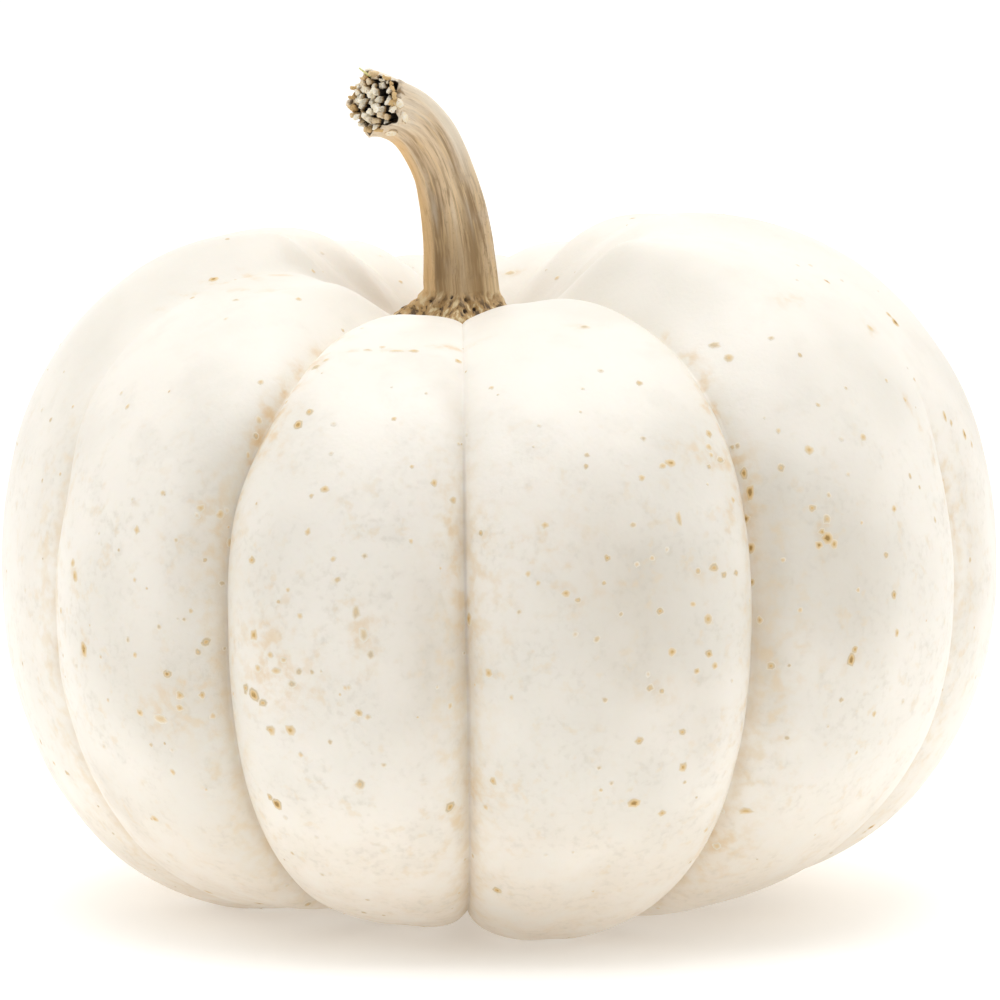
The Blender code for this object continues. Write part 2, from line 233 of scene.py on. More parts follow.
def weathered(point, azimuth):
    """The point with the rind's fine swells and soft hollows added, along the way out of the fruit."""
    out = (point - UP * EQUATOR).normalized()
    rise = sum(height * noise.noise(point / size) for height, size in SWELLS)
    for hollow in HOLLOWS:
        turn = math.radians((azimuth - hollow.azimuth + 180.0) % 360.0 - 180.0)
        aside = turn * math.hypot(point.x, point.y) / hollow.wide
        above = (point.z - hollow.height) / hollow.tall
        if abs(aside) < HOLLOW_REACH and abs(above) < HOLLOW_REACH:
            rise -= hollow.depth * math.exp(-(aside**2) - above**2)
    point = point + out * rise
    point.z = max(0.0, point.z)
    return point


def rind_columns():
    """Azimuths of the rind's columns, which stand closer together at the grooves."""
    columns = []
    for start, end in zip(GROOVES, GROOVES[1:]):
        for step in range(COLUMNS_PER_RIB):
            even = 2.0 * step / COLUMNS_PER_RIB - 1.0
            crowded = math.sin(math.pi / 2.0 * even)
            across = COLUMNS_TO_GROOVES * crowded + (1.0 - COLUMNS_TO_GROOVES) * even
            columns.append(start + (end - start) * (across + 1.0) / 2.0)
    return columns


def lathed_faces(ring_count, column_count):
    """The faces between rings of points, and to one point before the first ring and one after the last."""
    start = ring_count * column_count
    end = start + 1
    last = start - column_count
    faces = []
    for column in range(column_count):
        following = (column + 1) % column_count
        faces.append((start, following, column))
        faces.append((end, last + column, last + following))
        for low in range(0, last, column_count):
            high = low + column_count
            faces.append((low + column, low + following, high + following, high + column))
    return faces


def new_piece(name, points, faces, finish, numbers=None):
    """A smooth-shaded piece that rides on the fruit, with the numbers, by name, that its points keep."""
    mesh = bpy.data.meshes.new(name)
    mesh.from_pydata(points, [], faces)
    for label, values in (numbers or {}).items():
        kind = "FLOAT_VECTOR" if np.ndim(values) == 2 else "FLOAT"
        field = "vector" if kind == "FLOAT_VECTOR" else "value"
        mesh.attributes.new(label, kind, "POINT").data.foreach_set(field, np.ravel(values))
    mesh.materials.append(finish)
    mesh.validate()
    mesh.shade_smooth()
    piece = bpy.data.objects.new(name, mesh)
    bpy.context.scene.collection.objects.link(piece)
    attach(piece, "root")
    return piece


def rind_points():
    """Every point of the rind, ring by ring from beside the blossom scar up and into the pit."""
    stations = [(under_fruit, step / SCAR_RINGS) for step in range(1, SCAR_RINGS)]
    stations += [(up_side, 180.0 * step / SIDE_RINGS - 90.0) for step in range(SIDE_RINGS + 1)]
    stations += [(into_pit, step / PIT_RINGS) for step in range(PIT_RINGS - 1, 0, -1)]
    sections = [rind_section(azimuth) for azimuth in rind_columns()]
    points = []
    for profile, station in stations:
        for section in sections:
            points.append(rind_point(section, *profile(section, station)))
    xs = [point.x for point in points]
    ys = [point.y for point in points]
    offset = -Vector((min(xs) + max(xs), min(ys) + max(ys), 0.0)) / 2.0
    azimuths = [section.azimuth for section in sections] * len(stations)
    points = [weathered(point, azimuth) + offset for point, azimuth in zip(points, azimuths)]
    points += [UP * SCAR_HEIGHT + offset, UP * PIT_HEIGHT + offset]
    around = sections * len(stations)
    sunk = [part.sunk * (1.0 - part.fade * near_crown(point.z)) for part, point in zip(around, points)]
    sunk += [1.0, 1.0]
    return points, lathed_faces(len(stations), len(sections)), sunk, offset


rind_places, rind_faces, rind_sunk, stem_root = rind_points()
rind_surface = BVHTree.FromPolygons(rind_places, rind_faces)

# The photograph was taken with a long lens from a little above the fruit, level with its middle.
PHOTO_WIDTH = 1000
SENSOR = 36.0
LENS = 268.7
CAMERA_DISTANCE = 0.6
CAMERA_ELEVATION = 7.0
AIM = Vector((0.0, 0.0, 32.4 * MM))

camera = bpy.data.objects.new("camera", bpy.data.cameras.new("camera"))
camera.data.sensor_width = SENSOR
camera.data.lens = LENS
rise = math.radians(CAMERA_ELEVATION)
camera.location = AIM + Vector((0.0, -math.cos(rise), math.sin(rise))) * CAMERA_DISTANCE
camera.rotation_euler = (math.radians(90.0 - CAMERA_ELEVATION), 0.0, 0.0)
bpy.context.scene.collection.objects.link(camera)
bpy.context.scene.camera = camera
bpy.context.view_layer.update()


def seen_at(surface, x, y):
    """The place of a surface that shows at a pixel of the 1000 x 1000 photograph, and which way it faces.

    A pixel just outside the surface's outline gives the place on the surface that is nearest to its ray.
    """
    pixel = SENSOR / LENS / PHOTO_WIDTH
    ray = Vector(((x - PHOTO_WIDTH / 2) * pixel, (PHOTO_WIDTH / 2 - y) * pixel, -1.0))
    ray = (camera.matrix_world.to_quaternion() @ ray).normalized()
    place, facing, _, _ = surface.ray_cast(camera.location, ray)
    if place is None:
        place, facing, _, _ = surface.find_nearest(camera.location + ray * CAMERA_DISTANCE)
    return place, facing


# The size of a pixel of the photograph on the fruit, and how deep a stain reaches.
PIXEL = 1.0 * MM / 12.44
STAIN_DEPTH = 4.0 * MM

# Soft tan stains in the rind: pixel of the middle, half width and half height in pixels, and strength.
STAINS = (
    (316, 367, 12, 6, 0.5), (380, 351, 40, 3, 0.6), (285, 678, 42, 30, 0.42), (262, 640, 26, 44, 0.36),
    (363, 632, 14, 34, 0.5), (345, 336, 14, 5, 0.5), (320, 352, 12, 7, 0.6), (300, 372, 9, 10, 0.7),
    (283, 393, 8, 12, 0.8), (270, 415, 8, 15, 0.9), (259, 438, 7, 15, 0.9), (251, 461, 6, 16, 0.8),
    (244, 486, 5, 18, 0.6), (464, 350, 4, 22, 1.0), (466, 620, 5, 40, 0.5), (466, 790, 7, 60, 0.45),
    (455, 560, 6, 90, 0.4), (165, 716, 30, 24, 0.42), (178, 690, 26, 14, 0.36), (75, 572, 8, 14, 0.7),
    (84, 649, 7, 18, 0.6), (215, 530, 16, 36, 0.36), (161, 309, 10, 4, 0.5), (186, 294, 12, 4, 0.5),
    (216, 283, 14, 4, 0.6), (250, 277, 18, 4, 0.7), (280, 275, 12, 4, 0.6), (584, 327, 16, 7, 0.4),
    (664, 338, 12, 6, 0.5), (690, 358, 10, 10, 0.6), (704, 382, 7, 14, 0.7), (714, 408, 6, 14, 0.8),
    (723, 436, 6, 16, 0.8), (734, 462, 8, 10, 0.8), (700, 452, 22, 16, 0.45), (715, 571, 26, 8, 0.42),
    (660, 688, 30, 12, 0.34), (716, 846, 24, 40, 0.45), (510, 272, 14, 6, 0.6), (870, 328, 14, 9, 0.5),
    (790, 300, 26, 12, 0.3), (908, 403, 4, 10, 0.7), (921, 430, 4, 13, 0.6), (934, 459, 4, 14, 0.6),
    (945, 490, 4, 14, 0.6), (952, 524, 4, 18, 0.5), (824, 532, 9, 22, 0.5), (746, 520, 7, 50, 0.6),
    (850, 658, 8, 12, 0.5), (790, 662, 26, 34, 0.28), (858, 840, 22, 8, 0.5), (540, 560, 60, 60, 0.12),
    (600, 595, 44, 16, 0.20), (250, 290, 40, 8, 0.3),
)


# Broad grey-tan patches of painted shade on the ribs and beside the grooves, given in the same way.
PAINTED_SHADE_PATCHES = (
    (640, 640, 60, 95, 0.75), (610, 540, 50, 60, 0.35), (772, 600, 18, 130, 0.80), (850, 570, 60, 100, 0.60),
    (760, 885, 60, 40, 0.50), (160, 690, 50, 60, 0.45), (190, 570, 34, 60, 0.35), (115, 800, 26, 60, 0.60),
    (975, 560, 30, 120, 0.40), (28, 560, 30, 120, 0.30), (434, 665, 42, 105, 0.80), (452, 405, 14, 45, 0.45),
    (705, 725, 26, 60, 0.50),
)


def patchy(points, patches):
    """How much of a kind of stain or patch each point of the rind carries, from 0 to 1."""
    places = np.array(points)
    total = np.zeros(len(points))
    for x, y, wide, tall, strength in patches:
        place, facing = seen_at(rind_surface, x, y)
        aside = facing.cross(UP).normalized()
        along = aside.cross(facing)
        apart = places - np.array(place)
        far = (apart @ np.array(aside) / (wide * PIXEL)) ** 2
        far += (apart @ np.array(along) / (tall * PIXEL)) ** 2
        far += (apart @ np.array(facing) / STAIN_DEPTH) ** 2
        total += strength * np.exp(-far)
    return np.minimum(total, 1.0)


def add_node(tree, kind, inputs=None, **settings):
    """Adds a node to a finish. Each input is a plain value or another node's output."""
    made = tree.nodes.new("ShaderNode" + kind)
    for name, value in settings.items():
        setattr(made, name, value)
    for name, value in (inputs or {}).items():
        if isinstance(value, bpy.types.NodeSocket):
            tree.links.new(value, made.inputs[name])
        else:
            made.inputs[name].default_value = value
    return made


def clouds(tree, place, size, detail=2.0):
    """Soft clouds about as wide as size: a number round a half."""
    inputs = {"Vector": place, "Scale": 1.0 / size, "Detail": detail}
    return add_node(tree, "TexNoise", inputs).outputs["Fac"]


def ramp(tree, value, low, high, top=1.0):
    """Turns a number into an amount: 0 up to low, and top from high on."""
    inputs = {"Value": value, "From Min": low, "From Max": high, "To Max": top}
    return add_node(tree, "MapRange", inputs, interpolation_type="SMOOTHSTEP").outputs["Result"]


def times(tree, one, other):
    return add_node(tree, "Math", {0: one, 1: other}, operation="MULTIPLY").outputs[0]


def plus(tree, one, other):
    return add_node(tree, "Math", {0: one, 1: other}, operation="ADD").outputs[0]


def evenly(tree, value, low, high):
    """Turns a number into an amount: 0 up to low, 1 from high on, and even in between."""
    inputs = {"Value": value, "From Min": low, "From Max": high}
    return add_node(tree, "MapRange", inputs).outputs["Result"]


def spread(tree, value, low, high):
    """Spreads a number from 0 to 1 over the range from low to high."""
    inputs = {"Value": value, "To Min": low, "To Max": high}
    return add_node(tree, "MapRange", inputs).outputs["Result"]


def layered(tree, colour, *coats):
    """A colour with others laid over it one after another, each by its own amount from 0 to 1."""
    for amount, coat in coats:
        colour = add_node(tree, "Mix", {0: amount, 6: colour, 7: coat}, data_type="RGBA").outputs[2]
    return colour


def number(tree, name):
    """A number that the mesh keeps at each of its points."""
    return add_node(tree, "Attribute", attribute_name=name).outputs["Fac"]


def finish_surface(tree, shader, colour, rough, grain, depth):
    """Gives a finish its colour and roughness, and raises and sinks its fine grain by up to depth."""
    tree.links.new(colour, shader.inputs["Base Color"])
    tree.links.new(rough, shader.inputs["Roughness"])
    relief = add_node(tree, "Bump", {"Height": grain, "Distance": depth})
    tree.links.new(relief.outputs["Normal"], shader.inputs["Normal"])


def new_finish(name):
    """A new material: its node tree, and the shader that the tree's colours go into."""
    material = bpy.data.materials.new(name)
    material.use_nodes = True
    return material, material.node_tree, material.node_tree.nodes["Principled BSDF"]


CREAM_WHITE = (0.900, 0.857, 0.785, 1.0)
SHADED_WHITE = (0.790, 0.755, 0.682, 1.0)
PAINTED_BOUNCE_PEACH = (0.865, 0.735, 0.590, 1.0)
GROOVE_TAN_AND_SHADE = (0.700, 0.560, 0.400, 1.0)
STAIN_OCHRE = (0.740, 0.530, 0.290, 1.0)
PAINTED_SHADE_TAN = (0.560, 0.490, 0.390, 1.0)
FRECKLE_GREY = (0.610, 0.560, 0.470, 1.0)
FRECKLE_OCHRE = (0.790, 0.650, 0.450, 1.0)
PAINTED_BOUNCE_HEIGHT = 15.0 * MM
FRECKLED_BELOW = 33.0 * MM
CLEAN_ABOVE = 48.0 * MM


def waxy_rind():
    """Cloudy, freckled, stained cream-white skin: painted bounce light low down, painted shade in patches, tan
    and shade in grooves.
    """
    material, tree, shader = new_finish("waxy_rind")
    place = add_node(tree, "TexCoord").outputs["Object"]
    height = add_node(tree, "SeparateXYZ", {0: place}).outputs["Z"]
    groove = number(tree, "groove")
    stain = number(tree, "stain")
    broad = clouds(tree, place, 15.0 * MM)
    mottle = clouds(tree, place, 3.2 * MM, 5.0)
    spots = clouds(tree, place, 1.1 * MM, 3.0)
    grain = clouds(tree, place, 0.6 * MM, 2.5)
    pits = clouds(tree, place, 0.28 * MM, 2.0)

    # Near the ground, a warm tint in clouds: painted warm bounce light from the table.
    low = evenly(tree, height, PAINTED_BOUNCE_HEIGHT, 0.0)
    painted_bounce = times(tree, low, ramp(tree, mottle, 0.15, 0.75, 0.9))
    # Broad grey-tan patches of painted shade, clouded a little.
    painted_shade = times(tree, number(tree, "painted_shade"), plus(tree, times(tree, mottle, 0.5), 0.22))
    weather = ramp(tree, height, CLEAN_ABOVE, FRECKLED_BELOW)
    patches = times(tree, weather, ramp(tree, mottle, 0.36, 0.62))
    sides = times(tree, ramp(tree, groove, 0.14, 0.70), plus(tree, times(tree, weather, 0.8), 0.2))
    # Tan along the grooves' bottoms: partly the rind's own tan, partly painted shade in the creases.
    groove_floor_tan_and_shade = times(tree, ramp(tree, groove, 0.58, 0.92), plus(tree, times(tree, weather, 0.75), 0.25))
    blots = times(tree, stain, ramp(tree, plus(tree, spots, times(tree, stain, 0.14)), 0.44, 0.72))
    colour = layered(
        tree,
        CREAM_WHITE,
        (ramp(tree, broad, 0.40, 0.68, 0.75), SHADED_WHITE),
        (painted_bounce, PAINTED_BOUNCE_PEACH),
        (ramp(tree, mottle, 0.48, 0.74, 0.40), SHADED_WHITE),
        (painted_shade, PAINTED_SHADE_TAN),
        (times(tree, patches, ramp(tree, grain, 0.46, 0.78, 0.34)), FRECKLE_GREY),
        (times(tree, patches, ramp(tree, spots, 0.54, 0.72, 0.42)), FRECKLE_OCHRE),
        (times(tree, sides, ramp(tree, spots, 0.38, 0.70, 0.42)), FRECKLE_OCHRE),
        (times(tree, groove_floor_tan_and_shade, ramp(tree, mottle, 0.20, 0.62, 0.36)), GROOVE_TAN_AND_SHADE),
        (blots, STAIN_OCHRE),
        (times(tree, stain, 0.22), FRECKLE_OCHRE),
    )
    rough = plus(tree, spread(tree, mottle, 0.34, 0.58), ramp(tree, groove, 0.4, 1.0, 0.12))
    fine = plus(tree, times(tree, grain, 0.35), times(tree, pits, 0.25))
    finish_surface(tree, shader, colour, rough, plus(tree, times(tree, mottle, 0.5), fine), 0.075 * MM)
    shader.inputs["Subsurface Weight"].default_value = 0.12
    shader.inputs["Subsurface Radius"].default_value = (1.0, 0.65, 0.4)
    shader.inputs["Subsurface Scale"].default_value = 1.2 * MM
    shader.inputs["Coat Weight"].default_value = 0.18
    shader.inputs["Coat Roughness"].default_value = 0.35
    return material


rind_numbers = {
    "groove": rind_sunk,
    "stain": patchy(rind_places, STAINS),
    "painted_shade": patchy(rind_places, PAINTED_SHADE_PATCHES),
}
rind = new_piece("rind", rind_places, rind_faces, waxy_rind(), rind_numbers)
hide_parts("fruit")

# The rind's marks are small corky scabs and specks, tan to rust brown, that grew over scratches and bites.
# They stand a few hundredths of a millimetre proud, most in loose groups, and more of them near the grooves.

# Each is given by its pixel in the photograph, its width and height in pixels, and its tone: 0 is pale tan
# and 1 is dark rust.
MARKS_LEFT_OF_FRONT_GROOVE = (
    (298, 425, 6, 8, 0.8), (309, 412, 5, 5, 0.6), (316, 367, 8, 5, 0.4), (326, 360, 4, 4, 0.4),
    (396, 351, 14, 2, 0.3), (368, 350, 6, 2, 0.3), (414, 351, 6, 4, 0.5), (394, 419, 3, 3, 0.5),
    (325, 489, 5, 4, 0.6), (308, 532, 3, 5, 0.5), (434, 483, 4, 4, 0.6), (453, 500, 4, 5, 0.5),
    (411, 541, 3, 3, 0.4), (333, 559, 3, 4, 0.4), (252, 560, 5, 5, 0.6), (254, 635, 6, 7, 0.7),
    (254, 695, 10, 9, 0.8), (263, 703, 8, 5, 0.6), (246, 688, 5, 5, 0.6), (271, 730, 7, 6, 0.6),
    (290, 730, 6, 6, 0.7), (277, 804, 8, 8, 1.0), (270, 797, 4, 5, 0.6), (360, 784, 5, 6, 0.5),
    (359, 713, 5, 4, 0.6), (450, 807, 6, 7, 0.7), (450, 706, 3, 4, 0.4), (356, 612, 5, 9, 0.4),
    (364, 634, 5, 10, 0.35), (371, 655, 4, 6, 0.35), (469, 619, 5, 9, 0.7), (458, 361, 4, 4, 0.6),
    (259, 420, 3, 6, 0.4), (256, 436, 3, 5, 0.5), (248, 455, 2, 5, 0.4), (276, 671, 6, 4, 0.5),
    (292, 684, 5, 4, 0.4), (299, 672, 4, 4, 0.4), (284, 660, 4, 3, 0.4), (270, 655, 4, 4, 0.5),
    (312, 672, 3, 3, 0.4), (258, 668, 4, 4, 0.5), (301, 755, 3, 3, 0.4), (330, 742, 3, 3, 0.4),
    (345, 688, 3, 3, 0.3), (384, 765, 4, 3, 0.3), (288, 590, 3, 3, 0.4), (300, 616, 4, 3, 0.4),
)
MARKS_ON_LEFT_SIDE = (
    (236, 300, 5, 3, 0.3), (137, 530, 4, 5, 0.5), (75, 576, 7, 9, 0.6), (73, 563, 5, 5, 0.5),
    (61, 611, 3, 4, 0.4), (84, 649, 6, 13, 0.8), (163, 493, 4, 3, 0.4), (201, 508, 5, 4, 0.5),
    (220, 514, 4, 5, 0.5), (230, 543, 4, 6, 0.5), (206, 642, 6, 5, 0.6), (198, 652, 4, 4, 0.5),
    (167, 674, 6, 5, 0.7), (180, 695, 5, 5, 0.6), (202, 695, 4, 4, 0.6), (180, 708, 5, 4, 0.6),
    (161, 719, 12, 6, 0.4), (140, 713, 6, 4, 0.6), (173, 772, 4, 4, 0.5), (155, 819, 6, 4, 0.6),
    (222, 583, 4, 3, 0.4), (191, 611, 3, 3, 0.4), (213, 716, 4, 4, 0.4), (151, 745, 3, 3, 0.4),
    (128, 640, 3, 4, 0.3), (108, 700, 3, 3, 0.3), (205, 560, 3, 3, 0.5), (176, 540, 3, 3, 0.3),
)
MARKS_RIGHT_OF_FRONT_GROOVE = (
    (481, 533, 3, 4, 0.6), (489, 673, 5, 5, 0.6), (493, 781, 5, 5, 0.6), (497, 890, 7, 6, 0.7),
    (584, 327, 7, 4, 0.3), (639, 383, 4, 4, 0.5), (586, 466, 3, 4, 0.5), (587, 455, 3, 3, 0.4),
    (642, 478, 4, 4, 0.5), (671, 463, 8, 4, 0.7), (663, 466, 5, 3, 0.5), (679, 519, 2, 12, 0.5),
    (545, 525, 4, 4, 0.5), (633, 525, 4, 3, 0.4), (607, 558, 4, 4, 0.6), (566, 593, 5, 4, 0.6),
    (578, 600, 4, 3, 0.5), (660, 611, 5, 4, 0.6), (708, 619, 6, 5, 0.6), (621, 614, 3, 3, 0.4),
    (597, 639, 4, 4, 0.4), (672, 652, 6, 5, 0.7), (709, 654, 5, 5, 0.7), (715, 666, 4, 4, 0.6),
    (697, 671, 4, 3, 0.6), (650, 688, 5, 4, 0.5), (662, 691, 4, 3, 0.5), (605, 700, 4, 3, 0.4),
    (639, 741, 6, 4, 0.6), (682, 732, 5, 4, 0.6), (683, 767, 5, 6, 0.7), (634, 803, 7, 7, 0.9),
    (662, 813, 5, 4, 0.6), (714, 568, 7, 5, 0.6), (698, 571, 4, 3, 0.5), (724, 575, 5, 4, 0.5),
    (736, 573, 4, 4, 0.5), (709, 434, 4, 5, 0.6), (709, 447, 5, 4, 0.5), (720, 460, 7, 5, 0.5),
    (733, 500, 4, 4, 0.5), (538, 583, 3, 3, 0.4), (528, 574, 4, 3, 0.4), (519, 612, 3, 3, 0.3),
    (693, 604, 4, 3, 0.5), (604, 583, 3, 3, 0.5), (652, 558, 3, 3, 0.4), (706, 830, 5, 4, 0.4),
    (717, 846, 4, 5, 0.4), (690, 862, 4, 4, 0.3), (599, 768, 3, 3, 0.3),
)
MARKS_ON_RIGHT_SIDE = (
    (744, 473, 5, 9, 0.8), (750, 492, 6, 10, 1.0), (746, 519, 4, 6, 0.9), (751, 548, 4, 6, 0.9),
    (752, 582, 3, 5, 0.7), (510, 273, 9, 5, 0.4), (557, 278, 4, 3, 0.4), (729, 358, 5, 5, 0.5),
    (714, 345, 9, 3, 0.4), (800, 355, 3, 3, 0.5), (895, 322, 6, 7, 1.0), (889, 315, 4, 4, 0.7),
    (870, 328, 7, 5, 0.4), (771, 338, 4, 3, 0.3), (809, 450, 5, 5, 0.6), (863, 437, 5, 4, 0.5),
    (781, 468, 4, 5, 0.5), (812, 508, 5, 5, 0.6), (827, 538, 9, 8, 0.9), (819, 545, 5, 5, 0.8),
    (834, 544, 4, 5, 0.7), (822, 532, 4, 4, 0.7), (827, 519, 6, 6, 0.5), (894, 509, 4, 4, 0.6),
    (910, 476, 3, 4, 0.5), (886, 555, 4, 4, 0.5), (894, 595, 5, 5, 0.7), (951, 423, 4, 4, 0.5),
    (771, 666, 5, 5, 0.6), (851, 660, 6, 9, 0.9), (855, 649, 4, 5, 0.7), (897, 633, 4, 5, 0.6),
    (874, 714, 4, 4, 0.5), (841, 700, 4, 3, 0.4), (746, 811, 10, 4, 0.6), (871, 827, 7, 4, 1.0),
    (760, 620, 3, 5, 0.6), (783, 560, 3, 3, 0.4), (858, 590, 3, 3, 0.4), (800, 610, 3, 3, 0.4),
    (818, 405, 3, 3, 0.4), (846, 388, 3, 3, 0.3), (905, 400, 3, 4, 0.5), (935, 520, 3, 4, 0.4),
    (787, 738, 4, 3, 0.4), (970, 560, 3, 4, 0.4),
)
MARK_SIDES = 9
MARK_THICKNESS = 0.035 * MM
MARK_HALO = 0.22 * MM
MARK_RAGGEDNESS = (0.72, 1.15)
MARK_CORNER_SHIFT = 0.2
MARK_DOME = (0.7, 1.1)
FRONT = Vector((0.0, -1.0, 0.0))

# The rings of a mark from its edge inwards: share of the mark's own width, share of the pale halo round it,
# height over the rind, and share of the mark's tone.
MARK_RINGS = (
    (1.0, 1.5, -0.030 * MM, 0.0),
    (1.0, 1.0, 0.005 * MM, 0.14),
    (0.76, 0.2, 0.020 * MM, 0.62),
    (0.40, 0.0, MARK_THICKNESS, 1.0),
)

# The sides that the photograph doesn't show have marks of the same kinds, in groups, and lone specks.
MARK_SEED = 19
GROUPS_ROUND = 110
GROUP_COUNTS = (1, 2, 3, 3, 5, 9)
GROUP_SPREAD = 2.6 * MM
GROUPS_BELOW = CLEAN_ABOVE - 5.0 * MM
SEEN_BEFORE = -12.0 * MM
SEEN_ABOVE = 3.0 * MM
MARK_WIDTH = (0.16 * MM, 0.60 * MM)
MARK_TONE = (0.25, 0.95)
LONE_SPECKS = 800
SPECKS_BELOW = CLEAN_ABOVE - 3.0 * MM
SPECKS_ON_CROWN = 0.2
SPECK_WIDTH = (0.12 * MM, 0.30 * MM)
SPECK_TONE = (0.12, 0.5)

MARK_EDGE = (0.845, 0.800, 0.715, 1.0)
MARK_PALE = (0.800, 0.650, 0.430, 1.0)
MARK_RUST = (0.680, 0.450, 0.170, 1.0)
MARK_DARK = (0.340, 0.200, 0.065, 1.0)
MARK_GREY = (0.500, 0.435, 0.330, 1.0)


def corky_mark():
    """Dry cork: cream at its edge, ochre to rust by its tone, here and there grey, brown in its cracks."""
    material, tree, shader = new_finish("corky_mark")
    place = add_node(tree, "TexCoord").outputs["Object"]
    tone = number(tree, "tone")
    crumbs = clouds(tree, place, 0.16 * MM, 4.0)
    pale_marks = times(tree, ramp(tree, tone, 0.08, 0.36), ramp(tree, tone, 0.46, 0.30))
    colour = layered(
        tree,
        MARK_EDGE,
        (ramp(tree, tone, 0.0, 0.32), MARK_PALE),
        (ramp(tree, tone, 0.22, 0.80), MARK_RUST),
        (times(tree, pale_marks, ramp(tree, clouds(tree, place, 4.0 * MM), 0.44, 0.60, 0.65)), MARK_GREY),
        (ramp(tree, plus(tree, tone, times(tree, crumbs, 0.5)), 0.80, 1.20, 0.9), MARK_DARK),
    )
    finish_surface(tree, shader, colour, spread(tree, crumbs, 0.62, 0.9), crumbs, 0.05 * MM)
    return material


def scab(points, faces, tones, chance, place, facing, wide, tall, tone):
    """Adds one mark to the lists of points, faces and tones: a low ragged dome that follows the rind."""
    aside = facing.cross(UP)
    aside = aside.normalized() if aside.length > 0.1 else facing.cross(FRONT).normalized()
    along = aside.cross(facing)
    first = len(points)
    halo = min(MARK_HALO, (wide + tall) / 4.0)
    raggedness = [chance.uniform(*MARK_RAGGEDNESS) for _ in range(MARK_SIDES)]
    for share, halo_share, lift, tone_share in MARK_RINGS:
        for side, ragged in enumerate(raggedness):
            corner = side + chance.uniform(-MARK_CORNER_SHIFT, MARK_CORNER_SHIFT)
            turn = 2.0 * math.pi * corner / MARK_SIDES
            out_aside = math.cos(turn) * ragged * (share * wide / 2.0 + halo_share * halo)
            out_along = math.sin(turn) * ragged * (share * tall / 2.0 + halo_share * halo)
            ground, up, _, _ = rind_surface.find_nearest(place + aside * out_aside + along * out_along)
            points.append(ground + up * lift)
            tones.append(tone * tone_share)
    points.append(place + facing * MARK_THICKNESS * chance.uniform(*MARK_DOME))
    tones.append(tone)
    tip = len(points) - 1
    last = tip - MARK_SIDES
    for side in range(MARK_SIDES):
        following = (side + 1) % MARK_SIDES
        for low in range(first, last, MARK_SIDES):
            high = low + MARK_SIDES
            faces.append((low + side, low + following, high + following, high + side))
        faces.append((last + side, last + following, tip))


def mark_pieces():
    """All the marks, as one mesh."""
    points, faces, tones = [], [], []
    chance = random.Random(MARK_SEED)
    seen = MARKS_LEFT_OF_FRONT_GROOVE + MARKS_ON_LEFT_SIDE
    seen += MARKS_RIGHT_OF_FRONT_GROOVE + MARKS_ON_RIGHT_SIDE
    for x, y, wide, tall, tone in seen:
        place, facing = seen_at(rind_surface, x, y)
        scab(points, faces, tones, chance, place, facing, wide * PIXEL, tall * PIXEL, tone)
    for _ in range(GROUPS_ROUND):
        middle = chance.choice(rind_places)
        count = chance.choice(GROUP_COUNTS)
        in_photograph = middle.y < SEEN_BEFORE and middle.z > SEEN_ABOVE
        if in_photograph or (middle.z > GROUPS_BELOW and count > 1):
            continue
        for _ in range(count):
            stray = Vector([chance.gauss(0.0, GROUP_SPREAD) for _ in range(3)]) * (count > 1)
            place, facing, _, _ = rind_surface.find_nearest(middle + stray)
            wide, tall = chance.uniform(*MARK_WIDTH), chance.uniform(*MARK_WIDTH)
            scab(points, faces, tones, chance, place, facing, wide, tall, chance.uniform(*MARK_TONE))
    for _ in range(LONE_SPECKS):
        place, facing, _, _ = rind_surface.find_nearest(chance.choice(rind_places))
        width = chance.uniform(*SPECK_WIDTH)
        if place.z < SPECKS_BELOW or chance.random() < SPECKS_ON_CROWN:
            scab(points, faces, tones, chance, place, facing, width, width, chance.uniform(*SPECK_TONE))
    return points, faces, tones


mark_points, mark_faces, mark_tones = mark_pieces()
marks = new_piece("rind_marks", mark_points, mark_faces, corky_mark(), {"tone": mark_tones})

# The blossom scar is where the flower fell off: a thin corky ring round a small nub, in the hollow under
# the fruit. It grew out of the rind and is of the same dry cork as the marks.

# Its rings, from the nub out: radius, how far it hangs under the rind, and tone.
SCAR_RINGS_OUTWARDS = (
    (0.35 * MM, 0.62 * MM, 1.1),
    (0.70 * MM, 0.45 * MM, 0.9),
    (0.95 * MM, 0.10 * MM, 1.1),
    (1.50 * MM, 0.10 * MM, 0.5),
    (2.00 * MM, 0.28 * MM, 0.7),
    (2.40 * MM, 0.24 * MM, 0.4),
    (2.80 * MM, 0.06 * MM, 0.2),
    (3.10 * MM, -0.10 * MM, 0.0),
)
SCAR_COLUMNS = 60
SCAR_POINTS = 5
SCAR_POINT_SHARE = 0.10
SCAR_WEAR_SHARE = 0.14
SCAR_NUB = 0.68 * MM
SCAR_ROOT = 0.3 * MM
SCAR_LUMPS = 0.22 * MM
SCAR_LUMP_SIZE = 0.7 * MM


